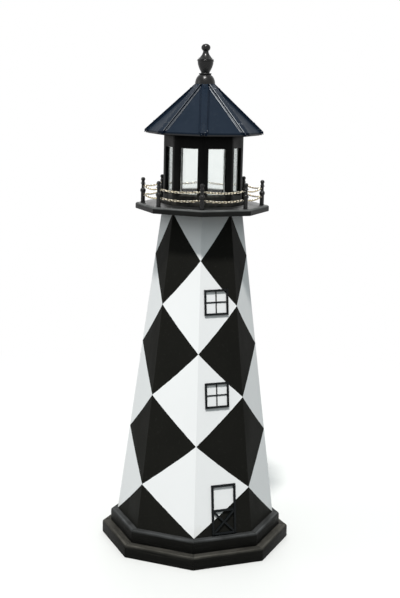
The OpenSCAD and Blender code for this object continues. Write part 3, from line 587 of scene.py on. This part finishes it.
stile_out = door_wide / 2
stile_in = stile_out - door_strip
rail_end = stile_in - mitre_gap
half_strip = door_strip / 2
door_trim = joined([
    strip(-stile_out, door_foot, -stile_in, door_head),
    strip(stile_in, door_foot, stile_out, door_head),
    strip(-rail_end, door_head - door_strip, rail_end, door_head),
    strip(-rail_end, door_rail - half_strip, rail_end, door_rail + half_strip),
    strip(-rail_end, door_foot, rail_end, door_foot + door_strip),
])
on_panel(door_trim, door_shift, 0)
fitted(door_trim, "door_trim", "tower", "trim_black", trim_gloss, "door_frame")

brace_low = door_foot + door_strip + mitre_gap
brace_high = door_rail - half_strip - mitre_gap
brace_middle = (brace_low + brace_high) / 2
brace_tilt = math.atan((brace_high - brace_low) / (2 * rail_end))


def brace_strip(way, beside=0):
    """One diagonal strip of the door's brace, whole or only its part to one side of the other."""
    centre = (0, -strip_seat - strip_thick / 2, brace_middle)
    made = slab(centre, (2 * door_wide, strip_thick, brace_wide), (0, -way * brace_tilt, 0))
    edit()
    for end in (1, -1):
        saw((end * rail_end, 0, 0), (end, 0, 0))
    saw((0, 0, brace_high), (0, 0, 1))
    saw((0, 0, brace_low), (0, 0, -1))
    if beside:
        other = Vector((way * math.sin(brace_tilt), 0, math.cos(brace_tilt))) * beside
        saw(Vector((0, 0, brace_middle)) + other * (brace_wide / 2 + mitre_gap), -other)
    ease_edges(0.0005)
    leave()
    return made


door_cross = joined([brace_strip(1), brace_strip(-1, 1), brace_strip(-1, -1)])
on_panel(door_cross, door_shift, 0)
fitted(door_cross, "door_cross", "tower", "trim_black", trim_gloss, "door_brace")

# Pins
# Fine steel pins with domed heads are driven through the strips near their corners, and hold them
# on the panel. They are painted over with the strips.
pin_shank = 0.0007
pin_long = 0.004
pin_head = 0.0011
pin_rim_low = 0.00005
pin_rim_high = 0.00015
pin_dome = 0.0005
pin_dome_high = 0.0003


def turned_piece(profile, around, place=(0.0, 0.0, 0.0)):
    """Turns a solid on the lathe from pairs of radius and height, with a pole where it ends thin."""
    radius, height = profile[0]
    x, y, z = place
    bpy.ops.object.select_all(action="DESELECT")
    bpy.ops.mesh.primitive_circle_add(
        vertices=around, radius=radius, fill_type="NGON", location=(x, y, z + height)
    )
    settle()
    edit()
    pick("edges", lambda e: True)
    for next_radius, next_height in profile[1:]:
        bpy.ops.mesh.extrude_edges_move(TRANSFORM_OT_translate={"value": (0, 0, next_height - height)})
        grow = next_radius / radius
        bpy.ops.transform.resize(value=(grow, grow, 1), center_override=(x, y, z + next_height))
        radius, height = next_radius, next_height
    if radius < 0.001:
        bpy.ops.mesh.merge(type="CENTER")
    else:
        bpy.ops.mesh.edge_face_add()
    close_up()
    return bpy.context.object


def copy_of(piece, matrix):
    """A copy with its own mesh, set to a place."""
    made = piece.copy()
    made.data = piece.data.copy()
    bpy.context.collection.objects.link(made)
    made.data.transform(matrix)
    return made


one_pin = turned_piece([
    (pin_shank, -pin_long), (pin_shank, 0.0), (pin_head, pin_rim_low), (pin_head, pin_rim_high),
    (pin_dome, pin_dome_high),
], 10)
pin_places = []
for x, up in windows.values():
    corner = reach - frame_strip / 2
    pin_places += [(x + a, up + b) for a in (-corner, corner) for b in (-corner, corner)]
stile_middle = stile_out - half_strip
for up in (door_foot + door_strip, door_rail, door_head - door_strip):
    pin_places += [(door_shift - stile_middle, up), (door_shift + stile_middle, up)]
lean_on = Matrix.Translation((0, -tower_foot_face, tower_foot)) @ Matrix.Rotation(-tower_lean, 4, "X")
outward = Matrix.Rotation(math.pi / 2, 4, "X")
pins = joined([
    copy_of(one_pin, lean_on @ Matrix.Translation((x, -strip_seat - strip_thick, up)) @ outward)
    for x, up in pin_places
])
bpy.data.objects.remove(one_pin)
fitted(pins, "strip_pins", "tower", "trim_black", trim_gloss, "trim_pins")

# Gallery deck
# An eight-sided board with rounded edges lies on the tower's head. Its black paint has gone grey
# and dusty above, and along the rounded upper edge it is worn through and painted lighter as a
# painted highlight.
deck_low = tower_foot + tower_high
deck_thick = 0.019
deck_top = deck_low + deck_thick
deck_across = 0.372
deck_round = 0.006

deck_paint, tree, shader = finish_for("deck_paint", Specular_IOR_Level=0.08)
place = node(tree, "TexCoord").outputs["Object"]
xyz = node(tree, "SeparateXYZ", {0: place}).outputs
grain = speckle(tree, place, (12, 260, 260), 5.0, 0.65)
patches = speckle(tree, place, (18, 22, 22), 4.0, 0.65)
turned, number = side_space(tree)
side_xyz = node(tree, "SeparateXYZ", {0: turned}).outputs
from_face = maths(tree, "ADD", side_xyz[1], deck_across / 2)
from_top = maths(tree, "SUBTRACT", deck_top, xyz[2])
# The band along the rounded upper edge is painted lighter: edge wear and a painted highlight.
edge_wear_and_highlight = step(tree, maths(tree, "ADD", from_face, from_top), 0.0036, 0.0062, 1.0, 0.0)
up = upward(tree)
bare_and_highlight = maths(tree, "MULTIPLY_ADD", up, 0.08, maths(tree, "MULTIPLY", edge_wear_and_highlight, 0.62))
wear_and_highlight = maths(tree, "MULTIPLY", bare_and_highlight, step(tree, patches, 0.25, 0.65, 0.55, 1.0))
paint = mixed(tree, patches, (0.0050, 0.0052, 0.0050, 1), (0.0110, 0.0112, 0.0105, 1))
greyed = mixed(tree, grain, (0.090, 0.093, 0.091, 1), (0.180, 0.186, 0.183, 1))
colour_of(tree, shader, mixed(tree, wear_and_highlight, paint, greyed))
roughness_of(tree, shader, step(tree, wear_and_highlight, 0.0, 0.5, 0.45, 0.72))
bumps(tree, shader, grain, 0.0006)

bpy.ops.object.select_all(action="DESELECT")
bpy.ops.mesh.primitive_circle_add(
    vertices=sides, radius=deck_across / 2 / math.cos(half_turn), fill_type="NGON",
    location=(0, 0, deck_low), rotation=(0, 0, half_turn),
)
settle()
deck = bpy.context.object
edit()
bpy.ops.mesh.select_all(action="SELECT")
bpy.ops.mesh.extrude_region_move(TRANSFORM_OT_translate={"value": (0, 0, deck_thick)})
pick("edges", lambda e: all(abs(v.co.z - deck_top) < same_place for v in e.verts))
bpy.ops.mesh.bevel(offset=deck_round, segments=5, affect="EDGES")
pick("edges", lambda e: all(abs(v.co.z - deck_low) < same_place for v in e.verts))
bpy.ops.mesh.bevel(offset=deck_round / 2, segments=3, affect="EDGES")
close_up()
fitted(deck, "gallery_deck", "tower", "deck_black", deck_paint, "deck_board")

# Railing posts
# Eight turned posts stand near the corners of the deck, each on a peg that sits in a hole: a foot
# bead, a shaft, a large ball, a thin neck with a ring, and a ball at the tip. They are gloss black.
post_circle = deck_across / 2 / math.cos(half_turn) - 0.022
post_high = 0.0755
peg = 0.003
peg_long = 0.012
shaft = 0.0127 / 2
foot_bead = shaft + 0.001
ball = 0.017 / 2
ball_high = 0.0355
neck = 0.0096 / 2
ring = 0.014 / 2
ring_high = 0.057
tip = 0.0128 / 2

post_gloss, tree, shader = finish_for("post_gloss", Specular_IOR_Level=0.32)
place = node(tree, "TexCoord").outputs["Object"]
cloud = speckle(tree, place, (120, 120, 120), 4.0)
dust = step(tree, speckle(tree, place, (900, 900, 900), 3.0, 0.7), 0.6, 0.8, 0.0, 0.2)
black = mixed(tree, cloud, (0.0012, 0.0012, 0.0012, 1), (0.0030, 0.0030, 0.0029, 1))
colour_of(tree, shader, mixed(tree, dust, black, (0.05, 0.05, 0.045, 1)))
roughness_of(tree, shader, step(tree, cloud, 0.3, 0.7, 0.25, 0.32))
bumps(tree, shader, speckle(tree, place, (260, 260, 700), 2.0), 0.00012)


def arc(centre_radius, centre_height, bend, start, end, steps):
    """Points of a rounded part of a turned profile, from one angle to another, in degrees."""
    angles = [math.radians(start + (end - start) * i / steps) for i in range(steps + 1)]
    return [(centre_radius + bend * math.cos(a), centre_height + bend * math.sin(a)) for a in angles]


ball_foot = -math.degrees(math.acos(shaft / ball))
ball_neck = math.degrees(math.acos(neck / ball))
ring_bend = ring - neck
tip_foot = -math.degrees(math.acos(neck * 0.96 / tip))
post_profile = (
    [(peg, -peg_long), (peg, 0.0), (foot_bead - 0.0004, 0.0)]
    + [(foot_bead, 0.0006), (foot_bead, 0.0016), (shaft, 0.0021)]
    + [(shaft, 0.012), (shaft, 0.024)]
    + arc(0, ball_high, ball, ball_foot, ball_neck, 8)
    + [(neck, ring_high - ring_bend * 1.2)]
    + arc(neck, ring_high, ring_bend, -80, 80, 6)
    + arc(0, post_high - tip, tip, tip_foot, 86, 8)
)
corner_place = (post_circle * math.sin(half_turn), -post_circle * math.cos(half_turn), deck_top)
posts = turned_piece(post_profile, 24, corner_place)
edit()
all_round()
close_up()
fitted(posts, "railing_posts_turned", "tower", "post_black", post_gloss, "railing_posts")

# Screw eyes and chains
# Small brass screw eyes are driven into the posts at two heights. Two runs of oval brass links
# hang from them, twelve links to a span, each link turned against the next.
eye_heights = {"upper": 0.0503, "lower": 0.025}
wire = 0.0022
link_wide = 0.007
links_in_span = 12
sag = 0.0047
slack = 0.0003
eye_wire = 0.0012
eye_bore = 0.0036
eye_sink = 0.0032
eye_radius = (eye_bore + eye_wire) / 2
eye_out = shaft + strip_seat + eye_radius + eye_wire / 2
post_line = post_circle * math.cos(half_turn)
span = 2 * post_circle * math.sin(half_turn) - 2 * eye_out
curve = 4 * sag / span ** 2
span_along = span * (1 + 8 / 3 * (sag / span) ** 2)
link_step = (span_along - eye_bore + slack) / links_in_span
link_long = link_step + 2 * wire + slack

bright_brass, tree, shader = finish_for("bright_brass", Metallic=1.0)
place = node(tree, "TexCoord").outputs["Object"]
turned, number = side_space(tree)
in_links = maths(tree, "DIVIDE", node(tree, "SeparateXYZ", {0: turned}).outputs[0], link_step)
from_joint = maths(tree, "PINGPONG", in_links, 0.5)
tarnish = speckle(tree, place, (260, 260, 260), 4.0)
plate = mixed(tree, step(tree, tarnish, 0.35, 0.7), (1.0, 0.95, 0.82, 1), (0.95, 0.84, 0.60, 1))
# Each link is painted dark where it passes through the next, as painted shade.
painted_shade_at_joints = mixed(tree, step(tree, from_joint, 0.06, 0.20), (0.035, 0.020, 0.004, 1), plate)
colour_of(tree, shader, painted_shade_at_joints)
roughness_of(tree, shader, step(tree, tarnish, 0.3, 0.7, 0.12, 0.26))
bumps(tree, shader, speckle(tree, place, (1500, 1500, 1500), 2.0), 0.00006)

bpy.ops.object.select_all(action="DESELECT")
bend_radius = (link_wide - wire) / 2
bpy.ops.mesh.primitive_torus_add(
    major_segments=12, minor_segments=5, major_radius=bend_radius, minor_radius=wire / 2
)
one_link = bpy.context.object
edit()
for way in (1, -1):
    pick("verts", lambda v: v.co.x * way > 1e-4)
    bpy.ops.transform.translate(value=(way * (link_long - link_wide) / 2, 0, 0))
close_up()


def link_roll(number):
    return side_turn if number % 2 == 0 else -side_turn


for which, up in eye_heights.items():
    links = []
    for number_of_link in range(links_in_span):
        along = (number_of_link - (links_in_span - 1) / 2) * link_step
        x = along - 2 / 3 * curve ** 2 * along ** 3
        place = Matrix.Translation((x, -post_line, deck_top + up - sag + curve * x * x))
        tilt = Matrix.Rotation(-math.atan(2 * curve * x), 4, "Y")
        links.append(copy_of(one_link, place @ tilt @ Matrix.Rotation(link_roll(number_of_link), 4, "X")))
    chain = joined(links)
    edit()
    all_round()
    close_up()
    fitted(chain, f"{which}_chain_links", "tower", "chain_brass", bright_brass, f"{which}_chain")
bpy.data.objects.remove(one_link)

bpy.ops.object.select_all(action="DESELECT")
bpy.ops.mesh.primitive_torus_add(
    major_segments=12, minor_segments=6, major_radius=eye_radius, minor_radius=eye_wire / 2
)
eye_ring = bpy.context.object
shank = eye_out - eye_radius - neck + eye_sink
bpy.ops.mesh.primitive_cylinder_add(
    vertices=8, radius=eye_wire / 2, depth=shank,
    location=(eye_radius + shank / 2, 0, 0), rotation=(0, math.pi / 2, 0),
)
eye_shank = bpy.context.object
settle()
edit()
ease_edges(0.0002, 1)
leave()
one_eye = joined([eye_ring, eye_shank])
eyes = []
for up in eye_heights.values():
    for end, roll in ((1, link_roll(links_in_span)), (-1, link_roll(-1))):
        place = Matrix.Translation((end * span / 2, -post_line, deck_top + up))
        facing = Matrix.Rotation(0 if end > 0 else math.pi, 4, "Z")
        eyes.append(copy_of(one_eye, place @ facing @ Matrix.Rotation(end * roll, 4, "X")))
bpy.data.objects.remove(one_eye)
eye_set = joined(eyes)
edit()
all_round()
close_up()
fitted(eye_set, "screw_eyes", "tower", "chain_brass", bright_brass, "chain_eyes")

# Lantern room
# Eight boards with mitred edges stand on the deck, each with a tall window whose sill slopes down
# to the outside. Satin black paint, dusty near the foot.
room_face = 0.110
room_wall = 0.012
room_high = 0.207
window_side = 0.017
window_wide = 2 * (room_face * math.tan(half_turn) - window_side)
window_low = deck_top + 0.029
window_high = deck_top + room_high - 0.037
sill_rise = room_wall * math.tan(math.radians(30))

satin_black, tree, shader = finish_for("satin_black", Specular_IOR_Level=0.05)
turned, number = side_space(tree)
board = own_patch(tree, turned, number)
xyz = node(tree, "SeparateXYZ", {0: turned}).outputs
brush = speckle(tree, board, (380, 380, 16), 4.0, 0.6)
cloud = speckle(tree, board, (40, 40, 30), 4.0, 0.6)
foot_dust = step(tree, xyz[2], deck_top, deck_top + 0.05, 0.35, 0.0)
sill_dust = maths(tree, "MULTIPLY", upward(tree), 0.5)
dusty = maths(tree, "MULTIPLY", maths(tree, "MAXIMUM", foot_dust, sill_dust), step(tree, cloud, 0.3, 0.7))
black = mixed(tree, cloud, (0.0020, 0.0021, 0.0020, 1), (0.0045, 0.0047, 0.0045, 1))
colour_of(tree, shader, mixed(tree, dusty, black, (0.10, 0.097, 0.085, 1)))
roughness_of(tree, shader, step(tree, brush, 0.3, 0.7, 0.38, 0.52))
bumps(tree, shader, brush, 0.0003)


def score(point, normal):
    """Cuts new edges round the shape being edited where a plane meets it."""
    bpy.ops.mesh.select_all(action="SELECT")
    bpy.ops.mesh.bisect(plane_co=point, plane_no=normal)


wall_middle = (0, room_wall / 2 - room_face, deck_top + room_high / 2)
one_wall = slab(wall_middle, (uncut, room_wall, room_high))
edit()
mitre()
score((window_wide / 2, 0, 0), (1, 0, 0))
score((-window_wide / 2, 0, 0), (1, 0, 0))
score((0, 0, window_low), (0, 0, 1))
score((0, 0, window_high), (0, 0, 1))
pick("verts", lambda v: v.co.y > room_wall / 2 - room_face and abs(v.co.z - window_low) < same_place
     and abs(v.co.x) < window_wide / 2 + same_place)
bpy.ops.transform.translate(value=(0, 0, sill_rise))
pick("faces", lambda f: abs(f.normal.y) > 0.9 and abs(middle(f).x) < 0.01
     and window_low < middle(f).z < window_high)
bpy.ops.mesh.bridge_edge_loops()
ease_edges(0.0008)
leave()
for number_of_wall in range(sides):
    made = copy_of(one_wall, Matrix.Rotation(number_of_wall * side_turn, 4, "Z"))
    bpy.ops.object.select_all(action="DESELECT")
    made.select_set(True)
    bpy.context.view_layer.objects.active = made
    bpy.ops.object.shade_smooth_by_angle(angle=smooth_below)
    name = f"lantern_wall_{number_of_wall + 1}"
    fitted(made, f"wall_board_{number_of_wall + 1}", "tower", "lantern_black", satin_black, name)
bpy.data.objects.remove(one_wall)

# Skirt
# Eight thin laths cover the joint between the lantern room and the deck. They are mitred at the
# corners, rounded along their upper edges and painted like the walls.
skirt_thick = 0.006
skirt_high = 0.014
skirt_face = room_face + strip_seat + skirt_thick
skirt = slab(
    (0, skirt_thick / 2 - skirt_face, deck_top + skirt_high / 2), (uncut, skirt_thick, skirt_high)
)
edit()
mitre(mitre_gap)
pick("edges", lambda e: abs(middle(e).y + skirt_face) < same_place
     and abs(middle(e).z - deck_top - skirt_high) < same_place)
bpy.ops.mesh.bevel(offset=skirt_thick / 2, segments=4, affect="EDGES")
ease_edges(0.0004)
all_round()
close_up()
fitted(skirt, "skirt_laths", "tower", "lantern_black", satin_black, "lantern_skirt")

# Panes and sealant
# A clear acrylic pane lies behind each window, bedded in clear sealant that has been squeezed out
# in an uneven bead along the edges of the opening.
pane_face = room_face - room_wall - strip_seat
clear_acrylic, tree, shader = finish_for(
    "clear_acrylic", IOR=1.49, Transmission_Weight=1.0, Specular_IOR_Level=0.5
)
place = node(tree, "TexCoord").outputs["Object"]
haze = speckle(tree, place, (30, 30, 18), 5.0, 0.6)
colour_of(tree, shader, mixed(tree, haze, (0.95, 0.97, 0.96, 1), (0.90, 0.93, 0.92, 1)))
roughness_of(tree, shader, step(tree, haze, 0.35, 0.7, 0.02, 0.10))
painted_node("lantern_panes", clear_acrylic)

clear_sealant, tree, shader = finish_for("clear_sealant", IOR=1.41, Transmission_Weight=0.45)
place = node(tree, "TexCoord").outputs["Object"]
milky = speckle(tree, place, (300, 300, 300), 3.0)
colour_of(tree, shader, mixed(tree, milky, (0.80, 0.82, 0.80, 1), (0.60, 0.62, 0.58, 1)))
roughness_of(tree, shader, step(tree, milky, 0.3, 0.7, 0.2, 0.42))
bumps(tree, shader, milky, 0.0003)

bead_low = window_low + sill_rise
bead_line = pane_face + 0.0008
bead_thick = 0.0011
beads = []
for number_of_bead in range(sides):
    chance = random.Random(400 + number_of_bead)
    bpy.ops.object.select_all(action="DESELECT")
    bpy.ops.mesh.primitive_plane_add(
        size=1, location=(0, -bead_line, (bead_low + window_high) / 2), rotation=(math.pi / 2, 0, 0)
    )
    outline = bpy.context.object
    outline.scale = (window_wide - bead_thick, window_high - bead_low - bead_thick, 1)
    settle()
    edit()
    bpy.ops.mesh.select_all(action="SELECT")
    bpy.ops.mesh.delete(type="ONLY_FACE")
    bpy.ops.mesh.select_all(action="SELECT")
    bpy.ops.mesh.subdivide(number_cuts=23)
    leave()
    bpy.ops.object.convert(target="CURVE")
    outline.data.bevel_depth = bead_thick
    outline.data.bevel_resolution = 2
    swell = 1.0
    for spline in outline.data.splines:
        for point in spline.points:
            swell = 0.65 * swell + 0.35 * chance.uniform(0.35, 1.9)
            point.radius = swell
            point.co.x += chance.uniform(-0.0003, 0.0003)
            point.co.z += chance.uniform(-0.0003, 0.0003)
    bpy.ops.object.convert(target="MESH")
    outline.data.transform(Matrix.Rotation(number_of_bead * side_turn, 4, "Z"))
    beads.append(outline)
sealant = joined(beads)
edit()
close_up()
fitted(sealant, "sealant_beads", "tower", "pane_clear", clear_sealant)

# Soffit board
# A board under the roof closes it below and rests on the lantern walls, with the locating blocks
# screwed to its underside. It is painted satin black like the walls.
painted_node("soffit_board", satin_black)

# Roof panels
# Eight sloping boards, mitred where they meet, stand on the soffit board and lean on the king
# block. They have a smooth blue-black satin paint.
roof_satin, tree, shader = finish_for("roof_satin", Specular_IOR_Level=0.05)
turned, number = side_space(tree)
panel = own_patch(tree, turned, number)
cloud = speckle(tree, panel, (22, 22, 22), 4.0, 0.55)
peel = speckle(tree, panel, (700, 700, 700), 2.0)
dust = step(tree, speckle(tree, panel, (60, 60, 60), 5.0, 0.7), 0.5, 0.8, 0.0, 0.3)
black = mixed(tree, cloud, (0.0070, 0.0125, 0.0215, 1), (0.0105, 0.0170, 0.0280, 1))
colour_of(tree, shader, mixed(tree, dust, black, (0.028, 0.036, 0.046, 1)))
roughness_of(tree, shader, step(tree, cloud, 0.3, 0.7, 0.36, 0.5))
bumps(tree, shader, peel, 0.0001)
for number_of_panel in range(1, sides + 1):
    painted_node(f"roof_panel_{number_of_panel}", roof_satin)

# Hip caps and drip edge
# Caps with a raised crown and a flange on each side are screwed over the joints of the roof, and
# dark strips close the eave between them. The sides and rounded shoulders of every cap are painted
# darker as painted shade, and pale lines along the edges of every other cap are painted highlights
# that stand for the light that such edges catch.
eave_face = 0.159
eave_corner = eave_face / math.cos(half_turn)
eave_high = 1.26812
roof_slope = math.radians(45)
hip_slope = math.atan(math.tan(roof_slope) * math.cos(half_turn))
hip_fall = math.acos(math.sin(roof_slope) ** 2 * math.cos(side_turn) + math.cos(roof_slope) ** 2) / 2
cap_wide = 0.0295
crown_wide = 0.020
crown_high = 0.0045
crown_round = 0.0018
flange_thick = 0.0015
flange_round = 0.0008
cap_reach = 0.005
finial_foot = 0.030
cap_long = (eave_corner - finial_foot) / math.cos(hip_slope)
faint_cap = -3.0
bright_cap = -1.0
faint_highlight = 0.20
bright_highlight = 0.62

cap_satin, tree, shader = finish_for("cap_satin", Specular_IOR_Level=0.05)
turned, number = side_space(tree, half_turn)
xyz = node(tree, "SeparateXYZ", {0: turned}).outputs
own = own_patch(tree, turned, number)
cloud = speckle(tree, own, (60, 60, 60), 4.0)
normal = turned_to_side(tree, node(tree, "TexCoord").outputs["Normal"], number, half_turn)
cap_up = (0, -math.sin(hip_slope), math.cos(hip_slope))
facing_up = node(tree, "VectorMath", {0: normal, 1: cap_up}, operation="DOT_PRODUCT").outputs["Value"]
upper_faces = step(tree, facing_up, 0.80, 0.92)
above_sides = step(tree, facing_up, 0.12, 0.35)
shoulders = maths(tree, "MULTIPLY", above_sides, maths(tree, "SUBTRACT", 1.0, upper_faces))
every_other = maths(tree, "FLOORED_MODULO", number, 2.0)
by_number = step(tree, number, faint_cap, bright_cap, faint_highlight, bright_highlight)
highlight_strength = maths(tree, "MULTIPLY", every_other, by_number)
breaks = step(tree, speckle(tree, own, (45, 45, 45), 3.0), 0.30, 0.50, 0.6, 1.0)
above_eave = step(tree, xyz[2], eave_high + 0.002, eave_high + 0.006)
highlight_along_edges = maths(tree, "MULTIPLY", shoulders, maths(tree, "MULTIPLY", breaks, above_eave))
painted_highlights = maths(tree, "MULTIPLY", highlight_along_edges, highlight_strength)
chips = step(tree, speckle(tree, own, (330, 330, 330), 2.0, 0.6), 0.68, 0.72)
near_eave = step(tree, xyz[2], eave_high + 0.004, eave_high + 0.022, 1.0, 0.0)
# Chips near the eave are wear, and the pale lines on the shoulders are painted highlights.
pale = maths(tree, "MAXIMUM", maths(tree, "MULTIPLY", chips, near_eave), painted_highlights)
blue_black = mixed(tree, cloud, (0.0065, 0.0118, 0.0205, 1), (0.0098, 0.0160, 0.0265, 1))
# Faces that do not look up, the crown's sides and shoulders, get a darker colour as painted shade.
black = mixed(tree, upper_faces, (0.0010, 0.0045, 0.0120, 1), blue_black)
colour_of(tree, shader, mixed(tree, pale, black, (0.58, 0.60, 0.62, 1)))
roughness_of(tree, shader, step(tree, cloud, 0.3, 0.7, 0.30, 0.38))
bumps(tree, shader, speckle(tree, own, (500, 500, 500), 2.0), 0.00002)

cap_base = strip_seat
crown_edge = crown_wide / 2
flange_top = cap_base + flange_thick
fall = math.tan(hip_fall)
cap_spare = 0.02
cap_size = (crown_wide, cap_long + 2 * cap_spare, crown_high)
cap = slab((0, cap_long / 2, cap_base + crown_high / 2), cap_size)
edit()
score((0, 0, flange_top), (0, 0, 1))
score((0, 0, 0), (1, 0, 0))
pick("verts", lambda v: abs(v.co.x) > crown_edge - same_place and v.co.z < flange_top + same_place)
bpy.ops.transform.translate(value=(0, 0, -crown_edge * fall))
flange_wide = cap_wide / 2 - crown_edge
drop = flange_wide * fall
follow_eave = (flange_wide * math.tan(half_turn) - drop * math.sin(hip_slope)) / math.cos(hip_slope)
for way in (1, -1):
    level_normal = Vector((way * math.sin(half_turn), -math.cos(half_turn), 0))
    eave = Matrix.Rotation(-hip_slope, 3, "X") @ level_normal
    pick("faces", lambda f: f.normal.x * way > 0.9)
    bpy.ops.mesh.bisect(plane_co=(0, 0, 0), plane_no=eave)
    pick("faces", lambda f: f.normal.x * way > 0.9 and eave.dot(middle(f)) < 0
         and middle(f).z < flange_top - crown_edge * fall)
    shift = (way * flange_wide, follow_eave, -drop)
    bpy.ops.mesh.extrude_region_move(TRANSFORM_OT_translate={"value": shift})
pick("edges", lambda e: abs(middle(e).z - cap_base - crown_high) < same_place
     and abs(abs(middle(e).x) - crown_edge) < same_place)
bpy.ops.mesh.bevel(offset=crown_round, segments=4, affect="EDGES")
outer_edge_high = flange_top - cap_wide / 2 * fall
pick("edges", lambda e: all(abs(abs(v.co.x) - cap_wide / 2) < same_place for v in e.verts)
     and middle(e).z > outer_edge_high - same_place
     and e.calc_length() > cap_long / 2)
bpy.ops.mesh.bevel(offset=flange_round, segments=3, affect="EDGES")
leave()
cap.matrix_world = Matrix.Translation((0, -eave_corner, eave_high)) @ Matrix.Rotation(hip_slope, 4, "X")
bpy.context.view_layer.update()
settle()
edit()
saw((0, -eave_corner - cap_reach, 0), (0, -1, 0))
mitre(mitre_gap)
leave()
hole(cap, 0, 0, eave_high, eave_high + 0.25, 2 * (finial_foot + strip_seat), 64)
edit()
ease_edges(0.0003)
all_round(first=half_turn)
close_up()
fitted(cap, "hip_cap_set", "roof", "cap_black", cap_satin, "hip_caps")
painted_node("hip_cap_screws", cap_satin)

drip_black, tree, shader = finish_for("drip_black", Specular_IOR_Level=0.3)
place = node(tree, "TexCoord").outputs["Object"]
cloud = speckle(tree, place, (80, 80, 80), 4.0)
colour_of(tree, shader, mixed(tree, cloud, (0.004, 0.004, 0.005, 1), (0.009, 0.010, 0.012, 1)))
roughness_of(tree, shader, step(tree, cloud, 0.3, 0.7, 0.4, 0.55))
bumps(tree, shader, cloud, 0.0002)
painted_node("drip_edge", drip_black)

# Finial
# One turned piece on a stud in the peak: a domed foot with a ring, a waist, a vase that widens to
# a collar of two beads, a cove that draws in to a neck, and a ball. It is gloss black.
peak = eave_high + (eave_face - 0.022) * math.tan(roof_slope)
dome_high = 0.0345
dome_ring = 0.019
ring_bead = 0.002
ring_from_foot = dome_high * math.sqrt(1 - ((dome_ring - ring_bead) / finial_foot) ** 2)
waist = 0.0128
waist_from_foot = ring_from_foot + 3 * ring_bead
vase_high = 0.032
vase_top = waist_from_foot + vase_high
vase_wide = 0.0235
collar_bead = 0.0017
collar = 0.0253
collar_step = 0.001
collar_top = vase_top + 4 * collar_bead
cove_high = 0.0233
cove_power = 1.9
top_neck = 0.008
top_ball = 0.0135
top_ball_half_high = 0.012
neck_top = collar_top + cove_high
ball_start = math.acos(top_neck / top_ball)
top_ball_high = neck_top + top_ball_half_high * math.sin(ball_start)


def dome_point(part):
    up = ring_from_foot * part
    return finial_foot * math.sqrt(1 - (up / dome_high) ** 2), up


def vase_point(part):
    return waist + (vase_wide - waist) * math.sin(part * math.pi / 2), waist_from_foot + vase_high * part


def cove_point(part):
    foot = vase_wide - collar_step / 2
    return top_neck + (foot - top_neck) * (1 - part) ** cove_power, collar_top + cove_high * part


def ball_point(part):
    angle = (math.pi / 2 + ball_start) * part - ball_start
    return top_ball * math.cos(angle), top_ball_high + top_ball_half_high * math.sin(angle)


steps = 12
ball_steps = 16
finial_profile = (
    [dome_point(i / steps) for i in range(steps + 1)]
    + arc(dome_ring - ring_bead, ring_from_foot + ring_bead, ring_bead, -75, 90, 7)
    + [(waist + 0.0008, ring_from_foot + 2 * ring_bead), (waist, ring_from_foot + 2.2 * ring_bead)]
    + [vase_point(i / steps) for i in range(steps + 1)]
    + arc(collar - collar_bead, vase_top + collar_bead, collar_bead, -80, 75, 6)
    + arc(collar - collar_step - collar_bead, vase_top + 3 * collar_bead, collar_bead, -70, 88, 6)
    + [cove_point(i / steps) for i in range(steps + 1)]
    + [ball_point(i / ball_steps) for i in range(1, ball_steps)]
)
finial = turned_piece(finial_profile, 56, (0, 0, peak))
fitted(finial, "turned_finial", "roof", "post_black", post_gloss, "finial")

bpy.context.view_layer.update()
